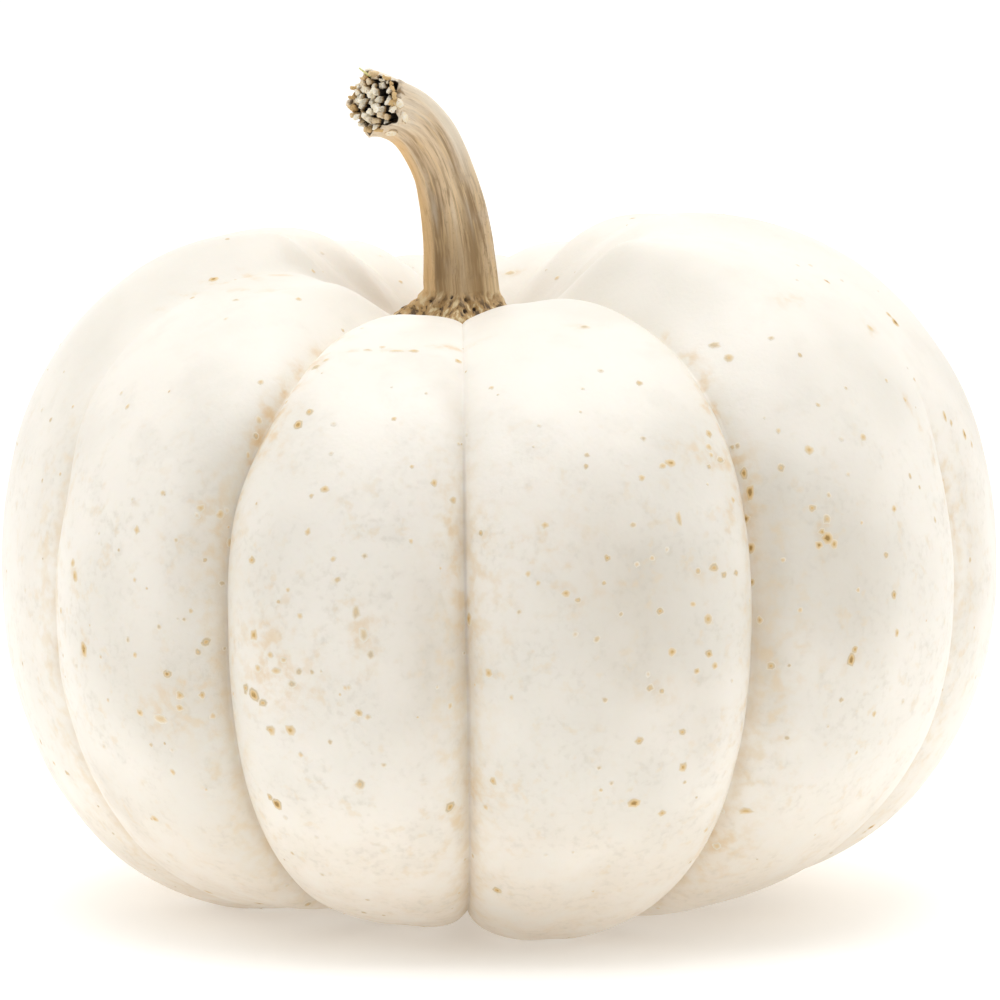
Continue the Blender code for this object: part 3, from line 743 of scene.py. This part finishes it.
def blossom_scar():
    """The scar's points, faces and tones. Its edge is drawn in and out like a worn star."""
    points, tones = [], []
    for radius, drop, tone in SCAR_RINGS_OUTWARDS:
        for column in range(SCAR_COLUMNS):
            azimuth = 360.0 * column / SCAR_COLUMNS
            out = outwards(azimuth)
            star = SCAR_POINT_SHARE * math.cos(math.radians(SCAR_POINTS * azimuth))
            reach = radius * (1.0 + star + SCAR_WEAR_SHARE * noise.noise(out * 2.2))
            section = rind_section(azimuth)
            height = under_fruit(section, reach / (FOOT_SHARE * section.reach))[1]
            lump = noise.noise((out * reach + UP * drop) / SCAR_LUMP_SIZE)
            height -= drop + SCAR_LUMPS * lump * min(1.0, max(0.0, drop / SCAR_LUMPS))
            points.append(out * reach + UP * height + stem_root)
            tones.append(max(0.0, tone + 0.5 * lump))
    points.append(UP * (SCAR_HEIGHT - SCAR_NUB) + stem_root)
    points.append(UP * (SCAR_HEIGHT + SCAR_ROOT) + stem_root)
    return points, lathed_faces(len(SCAR_RINGS_OUTWARDS), SCAR_COLUMNS), tones + [1.0, 0.0]


scar_points, scar_faces, scar_tones = blossom_scar()
scar = new_piece("blossom_scar", scar_points, scar_faces, corky_mark(), {"tone": scar_tones})

# The stem is the dried fruit stalk: a woody shaft that bends forwards and to the left, with five angles and
# hollow channels between them. It grew out of the pit, and each angle runs into a toe of its corky foot.
STEM_CURVE = (
    Vector((0.0, 0.0, 46.8)) * MM,
    Vector((0.0, 0.8, 53.5)) * MM,
    Vector((-1.1, 0.9, 64.0)) * MM,
    Vector((-6.9, -5.5, 64.8)) * MM,
)
STEM_RADIUS_LOW = 2.95 * MM
STEM_RADIUS_HIGH = 2.13 * MM
STEM_SLIM_SHARE = 0.55
STEM_END_FLARE = 0.30 * MM
STEM_END_FLARE_LENGTH = 0.07
STEM_TWIST = 20.0
ANGLE_HEIGHT = 0.10
ANGLE_SHARPNESS = 0.035
RIB_HEIGHT = 0.03
RIBS_PER_ANGLE = 3
TOES = (1.2 * MM, 0.95 * MM, 1.3 * MM, 1.4 * MM, 2.6 * MM)
FIRST_TOE = -97.0
TOE_SHARPNESS = 1.6
TOE_THICKNESS = 0.35 * MM
FOOT_RADIUS = 3.6 * MM
FLARE_HEIGHT = 2.8 * MM
FLARE_SWEEP = 1.35
FOOT_ROOT = 0.3 * MM

# The fibres of the shaft: pairs of height and width. They are FIBRE_LENGTH times as long as they are wide.
FIBRES = ((0.12 * MM, 1.0 * MM), (0.085 * MM, 0.42 * MM), (0.035 * MM, 0.2 * MM))
FIBRE_LENGTH = 14.0
FOOT_LUMPS = 0.42 * MM
FOOT_LUMP_SIZE = 0.55 * MM
FOOT_LUMP_LENGTH = 0.4
FOOT_LUMP_SHARE = 3.0
END_LUMPS = 0.4
RIM_TEAR = 0.35 * MM
RIM_SLANT = 0.65 * MM
BREAK_BACK_SIDE = -37.0
RIM_TEAR_START = 0.95
END_DEPTH = 1.1 * MM

# The rings from the torn rim down its hollow: share of the shaft's radius, depth, and how far it is inside.
END_RINGS = ((0.95, -0.06 * MM, 0.0), (0.93, 0.1 * MM, 0.5), (0.8, END_DEPTH, 1.0))

STEM_COLUMNS = 200
FLARE_RINGS = 30
SHAFT_RINGS = 150
STEM_AZIMUTHS = [360.0 * step / STEM_COLUMNS for step in range(STEM_COLUMNS)]
FLARE_TOP = FLARE_HEIGHT / (STEM_CURVE[-1].z - PIT_HEIGHT)

# A point of the stem. ridge: 1 on an angle and 0 in a channel. along: 0 at the foot and 1 at the torn end.
# inner: 1 on the inner side of the bend and -1 on the outer. inside: 1 in the hollow of the torn end.
# grain: how proud the fibres are. unbent: its place on a straight stem.
StemPoint = namedtuple("StemPoint", "place ridge along inner inside grain unbent")


def stem_line(share):
    """Place and direction of the stem's middle line, from the pit (share 0) to the torn end (share 1)."""
    a, b, c, d = STEM_CURVE
    rest = 1.0 - share
    place = a * rest**3 + b * 3.0 * rest**2 * share + c * 3.0 * rest * share**2 + d * share**3
    along = (b - a) * rest**2 + (c - b) * 2.0 * rest * share + (d - c) * share**2
    return place, along.normalized()


def toe_length(azimuth):
    """How far the foot's toes reach out past its radius at an azimuth."""
    turn = (azimuth - FIRST_TOE) * len(TOES) / 360.0
    nearest = TOES[round(turn) % len(TOES)]
    return nearest * ((math.cos(2.0 * math.pi * turn) + 1.0) / 2.0) ** TOE_SHARPNESS


def angle_turn(azimuth, share):
    """How far round from the middle of an angle: 0 on its ridge and pi in the middle of a channel."""
    return math.radians(azimuth - FIRST_TOE - STEM_TWIST * share) * len(TOES)


def shaft_radius(azimuth, share):
    """Radius of the shaft. Its angles start at the toes and turn slowly round it."""
    slim = min(1.0, share / STEM_SLIM_SHARE)
    radius = STEM_RADIUS_LOW + (STEM_RADIUS_HIGH - STEM_RADIUS_LOW) * slim
    radius += STEM_END_FLARE * math.exp((share - 1.0) / STEM_END_FLARE_LENGTH)
    turn = angle_turn(azimuth, share)
    shape = ANGLE_HEIGHT * math.cos(turn) + ANGLE_SHARPNESS * math.cos(2.0 * turn)
    return radius * (1.0 + shape + RIB_HEIGHT * math.cos(RIBS_PER_ANGLE * turn))


def stem_point(azimuth, share, middle, out, radius, length, lumps, inside=0.0):
    """A point of the stem, out from its middle by a radius, with its fibres and lumps added."""
    flat = outwards(azimuth) * radius
    unbent = Vector((flat.x, flat.y, length / FIBRE_LENGTH))
    rough = sum(height * noise.noise(unbent / width) for height, width in FIBRES)
    rough += FOOT_LUMPS * lumps * noise.noise((flat + UP * length * FOOT_LUMP_LENGTH) / FOOT_LUMP_SIZE)
    ridge = (math.cos(angle_turn(azimuth, share)) + 1.0) / 2.0
    inner = out.dot(FRONT.cross(stem_line(share)[1]).normalized())
    place = middle + out * (radius + rough) + stem_root
    return StemPoint(place, ridge, share, inner, inside, rough / MM, unbent / MM)


def foot_points():
    """The foot: its root in the rind, and the flare from its five toes up to the shaft."""
    sections = [rind_section(azimuth) for azimuth in STEM_AZIMUTHS]
    points = []
    for step in range(-1, FLARE_RINGS):
        rise = max(0, step) / FLARE_RINGS
        lift = -FOOT_ROOT if step < 0 else TOE_THICKNESS * (1.0 - rise) + FLARE_HEIGHT * rise
        share, length = FLARE_TOP * rise, FLARE_HEIGHT * rise
        lumps = min(1.0, FOOT_LUMP_SHARE * (1.0 - rise))
        for section, azimuth in zip(sections, STEM_AZIMUTHS):
            neck = shaft_radius(azimuth, FLARE_TOP)
            radius = neck + (FOOT_RADIUS + toe_length(azimuth) - neck) * (1.0 - rise) ** FLARE_SWEEP
            middle = UP * (pit_height(section, radius) + lift)
            points.append(stem_point(azimuth, share, middle, outwards(azimuth), radius, length, lumps))
    return points


def rim_tear(azimuth):
    """How far the torn rim stands up at an azimuth. The break slants back towards one side."""
    out = outwards(azimuth)
    slant = RIM_SLANT * (1.0 + out.dot(outwards(BREAK_BACK_SIDE))) / 2.0
    return RIM_TEAR * (noise.noise(out * 1.8 + UP * 3.0) + 0.6 * noise.noise(out * 9.0)) - slant


def shaft_points():
    """The shaft up to its torn rim, the wall inside the rim, and the torn end's place and directions."""
    points = []
    across = Vector((1.0, 0.0, 0.0))
    length, before = FLARE_HEIGHT, stem_line(FLARE_TOP)[0]
    for step in range(SHAFT_RINGS + 1):
        share = FLARE_TOP + (1.0 - FLARE_TOP) * step / SHAFT_RINGS
        place, along = stem_line(share)
        across = (across - along * across.dot(along)).normalized()
        beside = along.cross(across)
        length += (place - before).length
        before = place
        fray = max(0.0, (share - RIM_TEAR_START) / (1.0 - RIM_TEAR_START))
        for azimuth in STEM_AZIMUTHS:
            out = across * outwards(azimuth).x + beside * outwards(azimuth).y
            middle = place + along * rim_tear(azimuth) * fray
            radius = shaft_radius(azimuth, share)
            points.append(stem_point(azimuth, share, middle, out, radius, length, END_LUMPS * fray))
    for scale, depth, inside in END_RINGS:
        for azimuth in STEM_AZIMUTHS:
            out = across * outwards(azimuth).x + beside * outwards(azimuth).y
            middle = place + along * (rim_tear(azimuth) * (1.0 - inside) - depth)
            radius = scale * shaft_radius(azimuth, 1.0)
            points.append(stem_point(azimuth, 1.0, middle, out, radius, length, END_LUMPS, inside))
    return points, (place + stem_root, along, across, beside)


shaft, end_frame = shaft_points()
stem_parts = foot_points() + shaft
root = UP * (PIT_HEIGHT - FOOT_ROOT) + stem_root
stem_parts.append(StemPoint(root, 0.0, 0.0, 0.0, 1.0, 0.0, Vector()))
stem_parts.append(StemPoint(end_frame[0] - end_frame[1] * END_DEPTH, 0.0, 1.0, 0.0, 1.0, 0.0, Vector()))
stem_faces = lathed_faces(len(stem_parts) // STEM_COLUMNS, STEM_COLUMNS)
stem_surface = BVHTree.FromPolygons([part.place for part in stem_parts], stem_faces)

# Small holes between the corky ridges of the foot's front, painted dark as shade: pixel, width and depth.
FOOT_HOLES = (
    (451, 297, 0.34 * MM, 0.30 * MM),
    (466, 300, 0.30 * MM, 0.30 * MM),
    (466, 311, 0.42 * MM, 0.45 * MM),
    (475, 309, 0.34 * MM, 0.35 * MM),
    (431, 301, 0.26 * MM, 0.20 * MM),
    (440, 309, 0.22 * MM, 0.18 * MM),
)


def with_foot_holes(parts):
    """The stem's points with the foot's holes pressed in, and how deep in a hole each point is."""
    places = np.array([part.place for part in parts])
    holed = np.zeros(len(parts))
    for x, y, width, depth in FOOT_HOLES:
        place, facing = seen_at(stem_surface, x, y)
        near = np.exp(-((np.linalg.norm(places - np.array(place), axis=1) / (width / 2.0)) ** 2))
        places -= np.outer(near * depth, np.array(facing))
        holed = np.maximum(holed, near)
    return places, holed


CHANNEL_BROWN_AND_SHADE = (0.270, 0.165, 0.068, 1.0)
RIDGE_TAN = (0.770, 0.590, 0.375, 1.0)
UPPER_TAN = (0.770, 0.600, 0.410, 1.0)
SILVER_GREY = (0.640, 0.560, 0.480, 1.0)
BARE_CREAM_AND_HIGHLIGHT = (0.900, 0.820, 0.690, 1.0)
GOLD_FIBRE = (0.860, 0.640, 0.360, 1.0)
STREAK_BROWN_AND_SHADE = (0.310, 0.200, 0.095, 1.0)
LOWER_BROWN_AND_SHADE = (0.330, 0.215, 0.100, 1.0)
BENT_ORANGE = (0.860, 0.570, 0.270, 1.0)
CORK_BROWN_AND_SHADE = (0.470, 0.290, 0.110, 1.0)
FOOT_CREAM = (0.820, 0.690, 0.430, 1.0)
HOLE_SHADE = (0.050, 0.028, 0.012, 1.0)


def dried_stalk():
    """Woody skin: tan angles, brown channels, orange inside the bend, bleached outside it, with painted shade
    and highlight.
    """
    material, tree, shader = new_finish("dried_stalk")
    place = add_node(tree, "TexCoord").outputs["Object"]
    unbent = add_node(tree, "Attribute", attribute_name="unbent").outputs["Vector"]
    ridge = number(tree, "ridge")
    along = number(tree, "along")
    inner = number(tree, "inner")
    grain = number(tree, "grain")
    streaks = clouds(tree, unbent, 0.55, 4.0)
    threads = clouds(tree, unbent, 0.17, 3.0)
    patches = clouds(tree, place, 2.4 * MM, 3.0)
    strands = add_node(tree, "Mapping", {"Vector": unbent, "Scale": (1.0, 1.0, 4.0)}).outputs["Vector"]
    crumbs = clouds(tree, strands, 0.42, 4.0)
    fibres = clouds(tree, unbent, 0.30, 5.0)

    # Tan on the angles over brown in the channels: partly the stalk's own colours, partly painted shade in the
    # channels.
    on_ridge = plus(tree, times(tree, ridge, 0.62), times(tree, streaks, 0.95))
    higher = plus(tree, along, times(tree, streaks, 0.30))
    # Darker towards the foot: partly the stalk's own brown, partly painted shade.
    darker_low = ramp(tree, along, 0.85, 0.30)
    specks = clouds(tree, place, 0.24 * MM, 3.0)
    darkness = plus(tree, times(tree, darker_low, 0.45), 0.20)
    towards_end = plus(tree, along, times(tree, streaks, 0.25))
    middle = ramp(tree, add_node(tree, "Math", {0: inner}, operation="ABSOLUTE").outputs[0], 0.90, 0.60)
    # Brown low on the stalk's front and back: partly its own brown, partly painted shade.
    lower = ramp(tree, plus(tree, along, times(tree, streaks, -0.30)), 0.34, 0.08, 0.62)
    inside_bend = times(tree, ramp(tree, inner, 0.76, 0.93), ramp(tree, along, 0.95, 0.75, 0.75))
    outside_bend = times(tree, ramp(tree, inner, -0.66, -0.88, 0.85), ramp(tree, along, 0.40, 0.70))
    # A dark line beside the bleached band outside the bend: painted shade.
    beside_bleached = add_node(tree, "Math", {0: plus(tree, inner, 0.52)}, operation="ABSOLUTE").outputs[0]
    shade_seam = times(tree, ramp(tree, beside_bleached, 0.10, 0.02, 0.95), ramp(tree, along, 0.42, 0.62))
    foot = evenly(tree, along, 0.17, 0.07)
    colour = layered(
        tree,
        CHANNEL_BROWN_AND_SHADE,
        (ramp(tree, on_ridge, 0.40, 1.02), RIDGE_TAN),
        (ramp(tree, higher, 0.42, 0.90, 0.80), UPPER_TAN),
        (ramp(tree, patches, 0.52, 0.74, 0.35), SILVER_GREY),
        (ramp(tree, streaks, 0.44, 0.32, 0.55), STREAK_BROWN_AND_SHADE),
        (ramp(tree, threads, 0.52, 0.66, 0.45), STREAK_BROWN_AND_SHADE),
        (times(tree, darker_low, ramp(tree, specks, 0.56, 0.70, 0.30)), CHANNEL_BROWN_AND_SHADE),
        (times(tree, ramp(tree, fibres, 0.47, 0.36), darkness), CHANNEL_BROWN_AND_SHADE),
        (ramp(tree, fibres, 0.53, 0.64, 0.50), GOLD_FIBRE),
        # The fibres' relief painted into the colour: painted highlight on the proud fibres, painted shade
        # between them.
        (ramp(tree, grain, 0.03, 0.13, 0.45), BARE_CREAM_AND_HIGHLIGHT),
        (ramp(tree, grain, -0.04, -0.13, 0.50), STREAK_BROWN_AND_SHADE),
        (ramp(tree, towards_end, 0.86, 1.10, 0.45), BARE_CREAM_AND_HIGHLIGHT),
        (times(tree, middle, lower), LOWER_BROWN_AND_SHADE),
        (inside_bend, BENT_ORANGE),
        (outside_bend, BARE_CREAM_AND_HIGHLIGHT),
        (times(tree, shade_seam, ramp(tree, streaks, 0.60, 0.42)), STREAK_BROWN_AND_SHADE),
        (times(tree, foot, 0.75), CORK_BROWN_AND_SHADE),
        (times(tree, foot, ramp(tree, crumbs, 0.51, 0.62, 0.75)), FOOT_CREAM),
        # Dark pits in the foot's cork, the foot's holes and the hollow of the torn end: painted shade.
        (times(tree, foot, ramp(tree, crumbs, 0.47, 0.36, 0.85)), HOLE_SHADE),
        (ramp(tree, number(tree, "hole"), 0.15, 0.6), HOLE_SHADE),
        (ramp(tree, number(tree, "inside"), 0.3, 0.7), HOLE_SHADE),
    )
    fine = plus(tree, times(tree, threads, 0.6), times(tree, times(tree, foot, crumbs), 0.8))
    fibrous = plus(tree, times(tree, streaks, 0.5), fine)
    finish_surface(tree, shader, colour, spread(tree, streaks, 0.5, 0.85), fibrous, 0.16 * MM)
    return material


stem_places, stem_holes = with_foot_holes(stem_parts)
stem_numbers = {
    "ridge": [part.ridge for part in stem_parts],
    "along": [part.along for part in stem_parts],
    "inner": [part.inner for part in stem_parts],
    "inside": [part.inside for part in stem_parts],
    "grain": [part.grain for part in stem_parts],
    "unbent": [part.unbent for part in stem_parts],
    "hole": stem_holes,
}
stem = new_piece("stem_shaft", stem_places, stem_faces, dried_stalk(), stem_numbers)
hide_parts("stem")

# The torn end is where the stalk broke off: blocks of dry cream pith, with cracks between them that are
# painted dark as shade. They grew inside the stalk and stand in its hollow end, and the break left their
# tops ragged and uneven.
PITH_BLOCKS = 62
PITH_MISSING = 9
PITH_SPREAD = 2.30 * MM
PITH_INSIDE = 1.85 * MM
PITH_SLANT = 0.35 * MM
PITH_APART = 0.42 * MM
PITH_GAP = 0.05 * MM
PITH_GAP_OUTSIDE = 0.02 * MM
CRACK_TOP = 0.45 * MM
PITH_CORNERS = 18
PITH_RISE = (-0.50 * MM, 0.50 * MM)
PITH_SEED = 5
PITH_SLOPE = 0.5
PITH_DOME = 0.40 * MM
PITH_ROOT = -1.1 * MM
PITH_PEAK = 0.13 * MM
PITH_ROUGHNESS = ((0.14 * MM, 0.40 * MM), (0.09 * MM, 0.15 * MM))

# How a block's outline changes up its height: pairs of height in mm over its top and share of its width.
PITH_LEVELS = (
    (-1.10, 0.84),
    (-0.60, 0.96),
    (-0.20, 1.00),
    (-0.04, 1.00),
    (0.06, 0.93),
    (0.11, 0.72),
    (0.12, 0.36),
)

# Single fibres that stand out of the rim: way out of the stem in degrees, length, width, lean outwards, how
# much of the width is lost at the tip, and tone.
LooseFibre = namedtuple("LooseFibre", "azimuth long wide lean taper tone")
LOOSE_FIBRES = (
    LooseFibre(64, 0.95 * MM, 0.30 * MM, 0.60, 0.6, -0.6),
    LooseFibre(107, 0.60 * MM, 0.40 * MM, 0.15, 0.2, 1.0),
    LooseFibre(127, 0.62 * MM, 0.34 * MM, 0.05, 0.3, 0.9),
    LooseFibre(146, 0.62 * MM, 0.38 * MM, 0.05, 0.2, 0.8),
    LooseFibre(164, 0.50 * MM, 0.56 * MM, 0.15, 0.3, 0.8),
    LooseFibre(190, 0.30 * MM, 0.40 * MM, 0.10, 0.3, 0.3),
    LooseFibre(212, 0.40 * MM, 0.60 * MM, 0.20, 0.3, 0.85),
    LooseFibre(236, 0.30 * MM, 0.44 * MM, 0.20, 0.4, 1.1),
    LooseFibre(52, 0.40 * MM, 0.60 * MM, 0.25, 0.4, 0.8),
    LooseFibre(14, 0.45 * MM, 0.36 * MM, 0.45, 0.3, 1.2),
)
FIBRE_SIDES = 8
FIBRE_STEPS = 9
FIBRE_ROOT = 0.5 * MM
FIBRE_WAVES = 0.3 * MM
FIBRE_SWAY = 0.05 * MM
LUMP_TONE = 0.55
LUMP_SWAY = 0.06 * MM

# Lumps behind the rim: pixel and width. Their rings: share of the width, height, and depth in the crack.
RIM_LUMPS = (
    (404, 117, 1.00 * MM),
    (399, 103, 0.85 * MM),
    (391, 133, 0.95 * MM),
)
LUMP_RINGS = (
    (1.20, -0.06 * MM, 0.16),
    (1.06, 0.02 * MM, 0.22),
    (1.0, 0.05 * MM, 0.10),
    (0.85, 0.11 * MM, 0.0),
    (0.5, 0.15 * MM, 0.0),
)

PITH_CREAM = (0.930, 0.830, 0.620, 1.0)
PITH_WHITE = (0.965, 0.940, 0.860, 1.0)
PITH_AMBER = (0.640, 0.400, 0.130, 1.0)
PITH_GREEN = (0.800, 0.800, 0.380, 1.0)
CRACK_SHADE = (0.030, 0.021, 0.015, 1.0)


def broken_pith():
    """Dry pith: cream to amber by its tone (green under zero), with painted shade, brown to black, down in the
    cracks.
    """
    material, tree, shader = new_finish("broken_pith")
    place = add_node(tree, "TexCoord").outputs["Object"]
    tone = number(tree, "tone")
    crumbs = clouds(tree, place, 0.24 * MM, 4.0)
    down = plus(tree, number(tree, "depth"), times(tree, crumbs, 0.25))
    colour = layered(
        tree,
        PITH_CREAM,
        (ramp(tree, crumbs, 0.38, 0.60), PITH_WHITE),
        (ramp(tree, tone, 0.40, 0.95, 0.85), PITH_AMBER),
        (ramp(tree, crumbs, 0.56, 0.70, 0.55), PITH_AMBER),
        (ramp(tree, tone, -0.2, -0.5), PITH_GREEN),
        # Down in the cracks, brown then black: painted shade.
        (ramp(tree, down, 0.22, 0.38, 0.9), CORK_BROWN_AND_SHADE),
        (ramp(tree, down, 0.36, 0.62), CRACK_SHADE),
    )
    finish_surface(tree, shader, colour, spread(tree, crumbs, 0.65, 0.95), crumbs, 0.10 * MM)
    return material


def cut_back(corners, direction, limit):
    """The part of a flat outline that doesn't reach further than limit along a direction."""
    kept = []
    for here, after in zip(corners, corners[1:] + corners[:1]):
        past, past_after = here.dot(direction) - limit, after.dot(direction) - limit
        if past <= 0.0:
            kept.append(here)
        if (past > 0.0) != (past_after > 0.0):
            kept.append(here.lerp(after, past / (past - past_after)))
    return kept


def pith_outlines(chance):
    """The blocks' outlines across the stem: each block takes the ground that is nearest to its middle."""
    middles = []
    while len(middles) < PITH_BLOCKS:
        out = outwards(chance.uniform(0.0, 360.0)) * PITH_SPREAD * math.sqrt(chance.random())
        if all((out - other).length > PITH_APART for other in middles):
            middles.append(out)
    outlines = []
    for middle in middles[PITH_MISSING:]:
        corners = [outwards(azimuth) * PITH_SPREAD for azimuth in range(0, 360, 10)]
        for other in middles:
            if other is not middle:
                apart = other - middle
                gap = PITH_GAP + PITH_GAP_OUTSIDE * middle.length / PITH_SPREAD
                limit = (middle + other).dot(apart.normalized()) / 2.0 - gap * chance.uniform(0.2, 1.8)
                corners = cut_back(corners, apart.normalized(), limit)
        outlines.append(corners)
    return outlines


def reach_of(corners, middle, way):
    """How far an outline reaches from its middle in a direction."""
    best = 0.0
    for here, after in zip(corners, corners[1:] + corners[:1]):
        edge = after - here
        turned = way.x * edge.y - way.y * edge.x
        if abs(turned) < 1e-12:
            continue
        far = ((here - middle).x * edge.y - (here - middle).y * edge.x) / turned
        spot = ((here - middle).x * way.y - (here - middle).y * way.x) / turned
        if far > 0.0 and -0.001 <= spot <= 1.001:
            best = max(best, far)
    return best


def pith_pieces():
    """All the blocks, loose fibres and lumps of the torn end, as one mesh."""
    place, along, across, beside = end_frame
    chance = random.Random(PITH_SEED)
    noise.seed_set(PITH_SEED)
    points, faces, tones, depths = [], [], [], []
    block_faces = lathed_faces(len(PITH_LEVELS), PITH_CORNERS)
    lump_faces = lathed_faces(len(LUMP_RINGS), FIBRE_SIDES)

    def add(piece_points, piece_faces, tone, piece_depths):
        first = len(points)
        points.extend(piece_points)
        faces.extend(tuple(first + corner for corner in face) for face in piece_faces)
        tones.extend([tone] * len(piece_points))
        depths.extend(piece_depths)

    for corners in pith_outlines(chance):
        middle = sum(corners, Vector()) / len(corners)
        ways = [outwards(360.0 * step / PITH_CORNERS) for step in range(PITH_CORNERS)]
        reaches = [reach_of(corners, middle, way) for way in ways]
        edge = middle.length / PITH_SPREAD
        rise = chance.uniform(*PITH_RISE) + PITH_DOME * (1.0 - edge**2)
        tone = chance.random() * (0.35 + 0.85 * edge**2)
        slope = Vector([chance.uniform(-PITH_SLOPE, PITH_SLOPE) for _ in range(3)])
        flat = []
        for level, scale in PITH_LEVELS:
            height = level * MM + (rise if level > -1.0 else 0.0)
            flat += [(middle + way * reach * scale, height) for way, reach in zip(ways, reaches)]
        flat += [(middle, PITH_ROOT), (middle, PITH_PEAK + rise)]
        block = []
        for spot, height in flat:
            if height < 0.0 and spot.length > PITH_INSIDE:
                spot = spot * (PITH_INSIDE / spot.length)
            slant = PITH_SLANT * (1.0 + spot.dot(outwards(BREAK_BACK_SIDE)) / PITH_SPREAD) / 2.0
            lift = height + slope.dot(spot - middle) * (height > 0.0) - slant
            point = place + across * spot.x + beside * spot.y + along * lift
            for size, width in PITH_ROUGHNESS:
                point += noise.noise_vector(point / width) * size
            block.append(point)
        add(block, block_faces, tone, [(min(rise, CRACK_TOP) - height) / MM for _, height in flat])
    for fibre in LOOSE_FIBRES:
        strand, strand_faces = loose_fibre(fibre)
        add(strand, strand_faces, fibre.tone, [0.0] * len(strand))
    for x, y, width in RIM_LUMPS:
        lump, lump_depths = rim_lump(x, y, width)
        add(lump, lump_faces, LUMP_TONE, lump_depths)
    return points, faces, {"tone": tones, "depth": depths}


def rim_lump(x, y, width):
    """A round lump of pith on the skin behind the rim, in a crack of its own that is painted dark as shade."""
    place, facing = seen_at(stem_surface, x, y)
    aside = facing.cross(UP).normalized()
    upward = aside.cross(facing)
    lump = []
    for share, lift, _ in LUMP_RINGS:
        for corner in range(FIBRE_SIDES):
            turn = 2.0 * math.pi * corner / FIBRE_SIDES
            point = place + (aside * math.cos(turn) + upward * math.sin(turn)) * share * width / 2.0
            lump.append(point + facing * lift + noise.noise_vector(point / FIBRE_WAVES) * LUMP_SWAY)
    lump += [place - facing * 0.1 * MM, place + facing * 0.2 * MM]
    return lump, [depth for _, _, depth in LUMP_RINGS for _ in range(FIBRE_SIDES)] + [1.0, 0.0]


def loose_fibre(fibre):
    """One torn fibre: a thin tapering strand that leaves the rim and leans away from it."""
    place, along, across, beside = end_frame
    flat = outwards(fibre.azimuth)
    out = across * flat.x + beside * flat.y
    side = along.cross(out)
    start = place + out * (PITH_SPREAD - 0.1 * MM) - along * FIBRE_ROOT
    strand = []
    for step in range(FIBRE_STEPS):
        share = step / (FIBRE_STEPS - 1)
        far = (FIBRE_ROOT + fibre.long) * share
        middle = start + along * far + out * fibre.lean * fibre.long * share**2
        width = fibre.wide / 2.0 * (1.0 - fibre.taper * share)
        for corner in range(FIBRE_SIDES):
            turn = 2.0 * math.pi * corner / FIBRE_SIDES
            point = middle + (out * math.cos(turn) + side * math.sin(turn)) * width
            strand.append(point + noise.noise_vector(point / FIBRE_WAVES) * FIBRE_SWAY)
    strand += [start - along * 0.05 * MM, middle + along * 0.06 * MM]
    return strand, lathed_faces(FIBRE_STEPS, FIBRE_SIDES)


pith_points, pith_faces, pith_numbers = pith_pieces()
pith = new_piece("torn_pith", pith_points, pith_faces, broken_pith(), pith_numbers)

# The studio: a plain white table that runs on out of sight, one wide soft light overhead, and white walls
# all round but for the darker side where the camera stands.
TABLE_HALF = 3.0
TABLE_WHITE = (0.93, 0.93, 0.925, 1.0)
TABLE_GLOW_COLOUR = (1.0, 0.97, 0.93, 1.0)
TABLE_GLOW = 0.26
LIGHT_HEIGHT = 0.75
LIGHT_FORWARD = 0.08
LIGHT_WIDTH = 0.6
LIGHT_POWER = 2.75
WALLS = (1.0, 0.985, 0.96, 1.0)
CAMERA_SIDE = (0.14, 0.142, 0.14, 1.0)
ROOM_STRENGTH = 1.0


def white_table():
    """Matt white board with a faint grain, lit a little from below like a photographer's light table."""
    material, tree, shader = new_finish("white_table")
    place = add_node(tree, "TexCoord").outputs["Object"]
    grain = clouds(tree, place, 30.0 * MM, 3.0)
    colour = layered(tree, TABLE_WHITE, (ramp(tree, grain, 0.3, 0.7, 0.06), SHADED_WHITE))
    tree.links.new(colour, shader.inputs["Base Color"])
    shader.inputs["Roughness"].default_value = 0.8
    shader.inputs["Emission Color"].default_value = TABLE_GLOW_COLOUR
    shader.inputs["Emission Strength"].default_value = TABLE_GLOW
    return material


table_mesh = bpy.data.meshes.new("table")
corners = [(x * TABLE_HALF, y * TABLE_HALF, 0.0) for x, y in ((-1, -1), (1, -1), (1, 1), (-1, 1))]
table_mesh.from_pydata(corners, [], [(0, 1, 2, 3)])
table_mesh.materials.append(white_table())
table = bpy.data.objects.new("table", table_mesh)
bpy.context.scene.collection.objects.link(table)

softbox = bpy.data.objects.new("softbox", bpy.data.lights.new("softbox", "AREA"))
softbox.data.shape = "SQUARE"
softbox.data.size = LIGHT_WIDTH
softbox.data.energy = LIGHT_POWER
softbox.location = (0.0, -LIGHT_FORWARD, LIGHT_HEIGHT)
bpy.context.scene.collection.objects.link(softbox)


def studio_room():
    """White walls that light the fruit from all round, and a plain white background for the camera."""
    world = bpy.data.worlds.new("studio_room")
    world.use_nodes = True
    tree = world.node_tree
    shader = tree.nodes["Background"]
    way = add_node(tree, "TexCoord").outputs["Generated"]
    towards_camera = add_node(tree, "SeparateXYZ", {0: way}).outputs["Y"]
    walls = layered(tree, CAMERA_SIDE, (ramp(tree, towards_camera, -0.85, -0.25), WALLS))
    tree.links.new(walls, shader.inputs["Color"])
    shader.inputs["Strength"].default_value = ROOM_STRENGTH
    backdrop = add_node(tree, "Background", {"Color": (1.0, 1.0, 1.0, 1.0), "Strength": 1.0})
    seen = add_node(tree, "LightPath").outputs["Is Camera Ray"]
    shown = add_node(tree, "MixShader", {0: seen, 1: shader.outputs[0], 2: backdrop.outputs[0]})
    tree.links.new(shown.outputs[0], tree.nodes["World Output"].inputs["Surface"])
    bpy.context.scene.world = world


studio_room()
bpy.context.scene.view_settings.view_transform = "Standard"
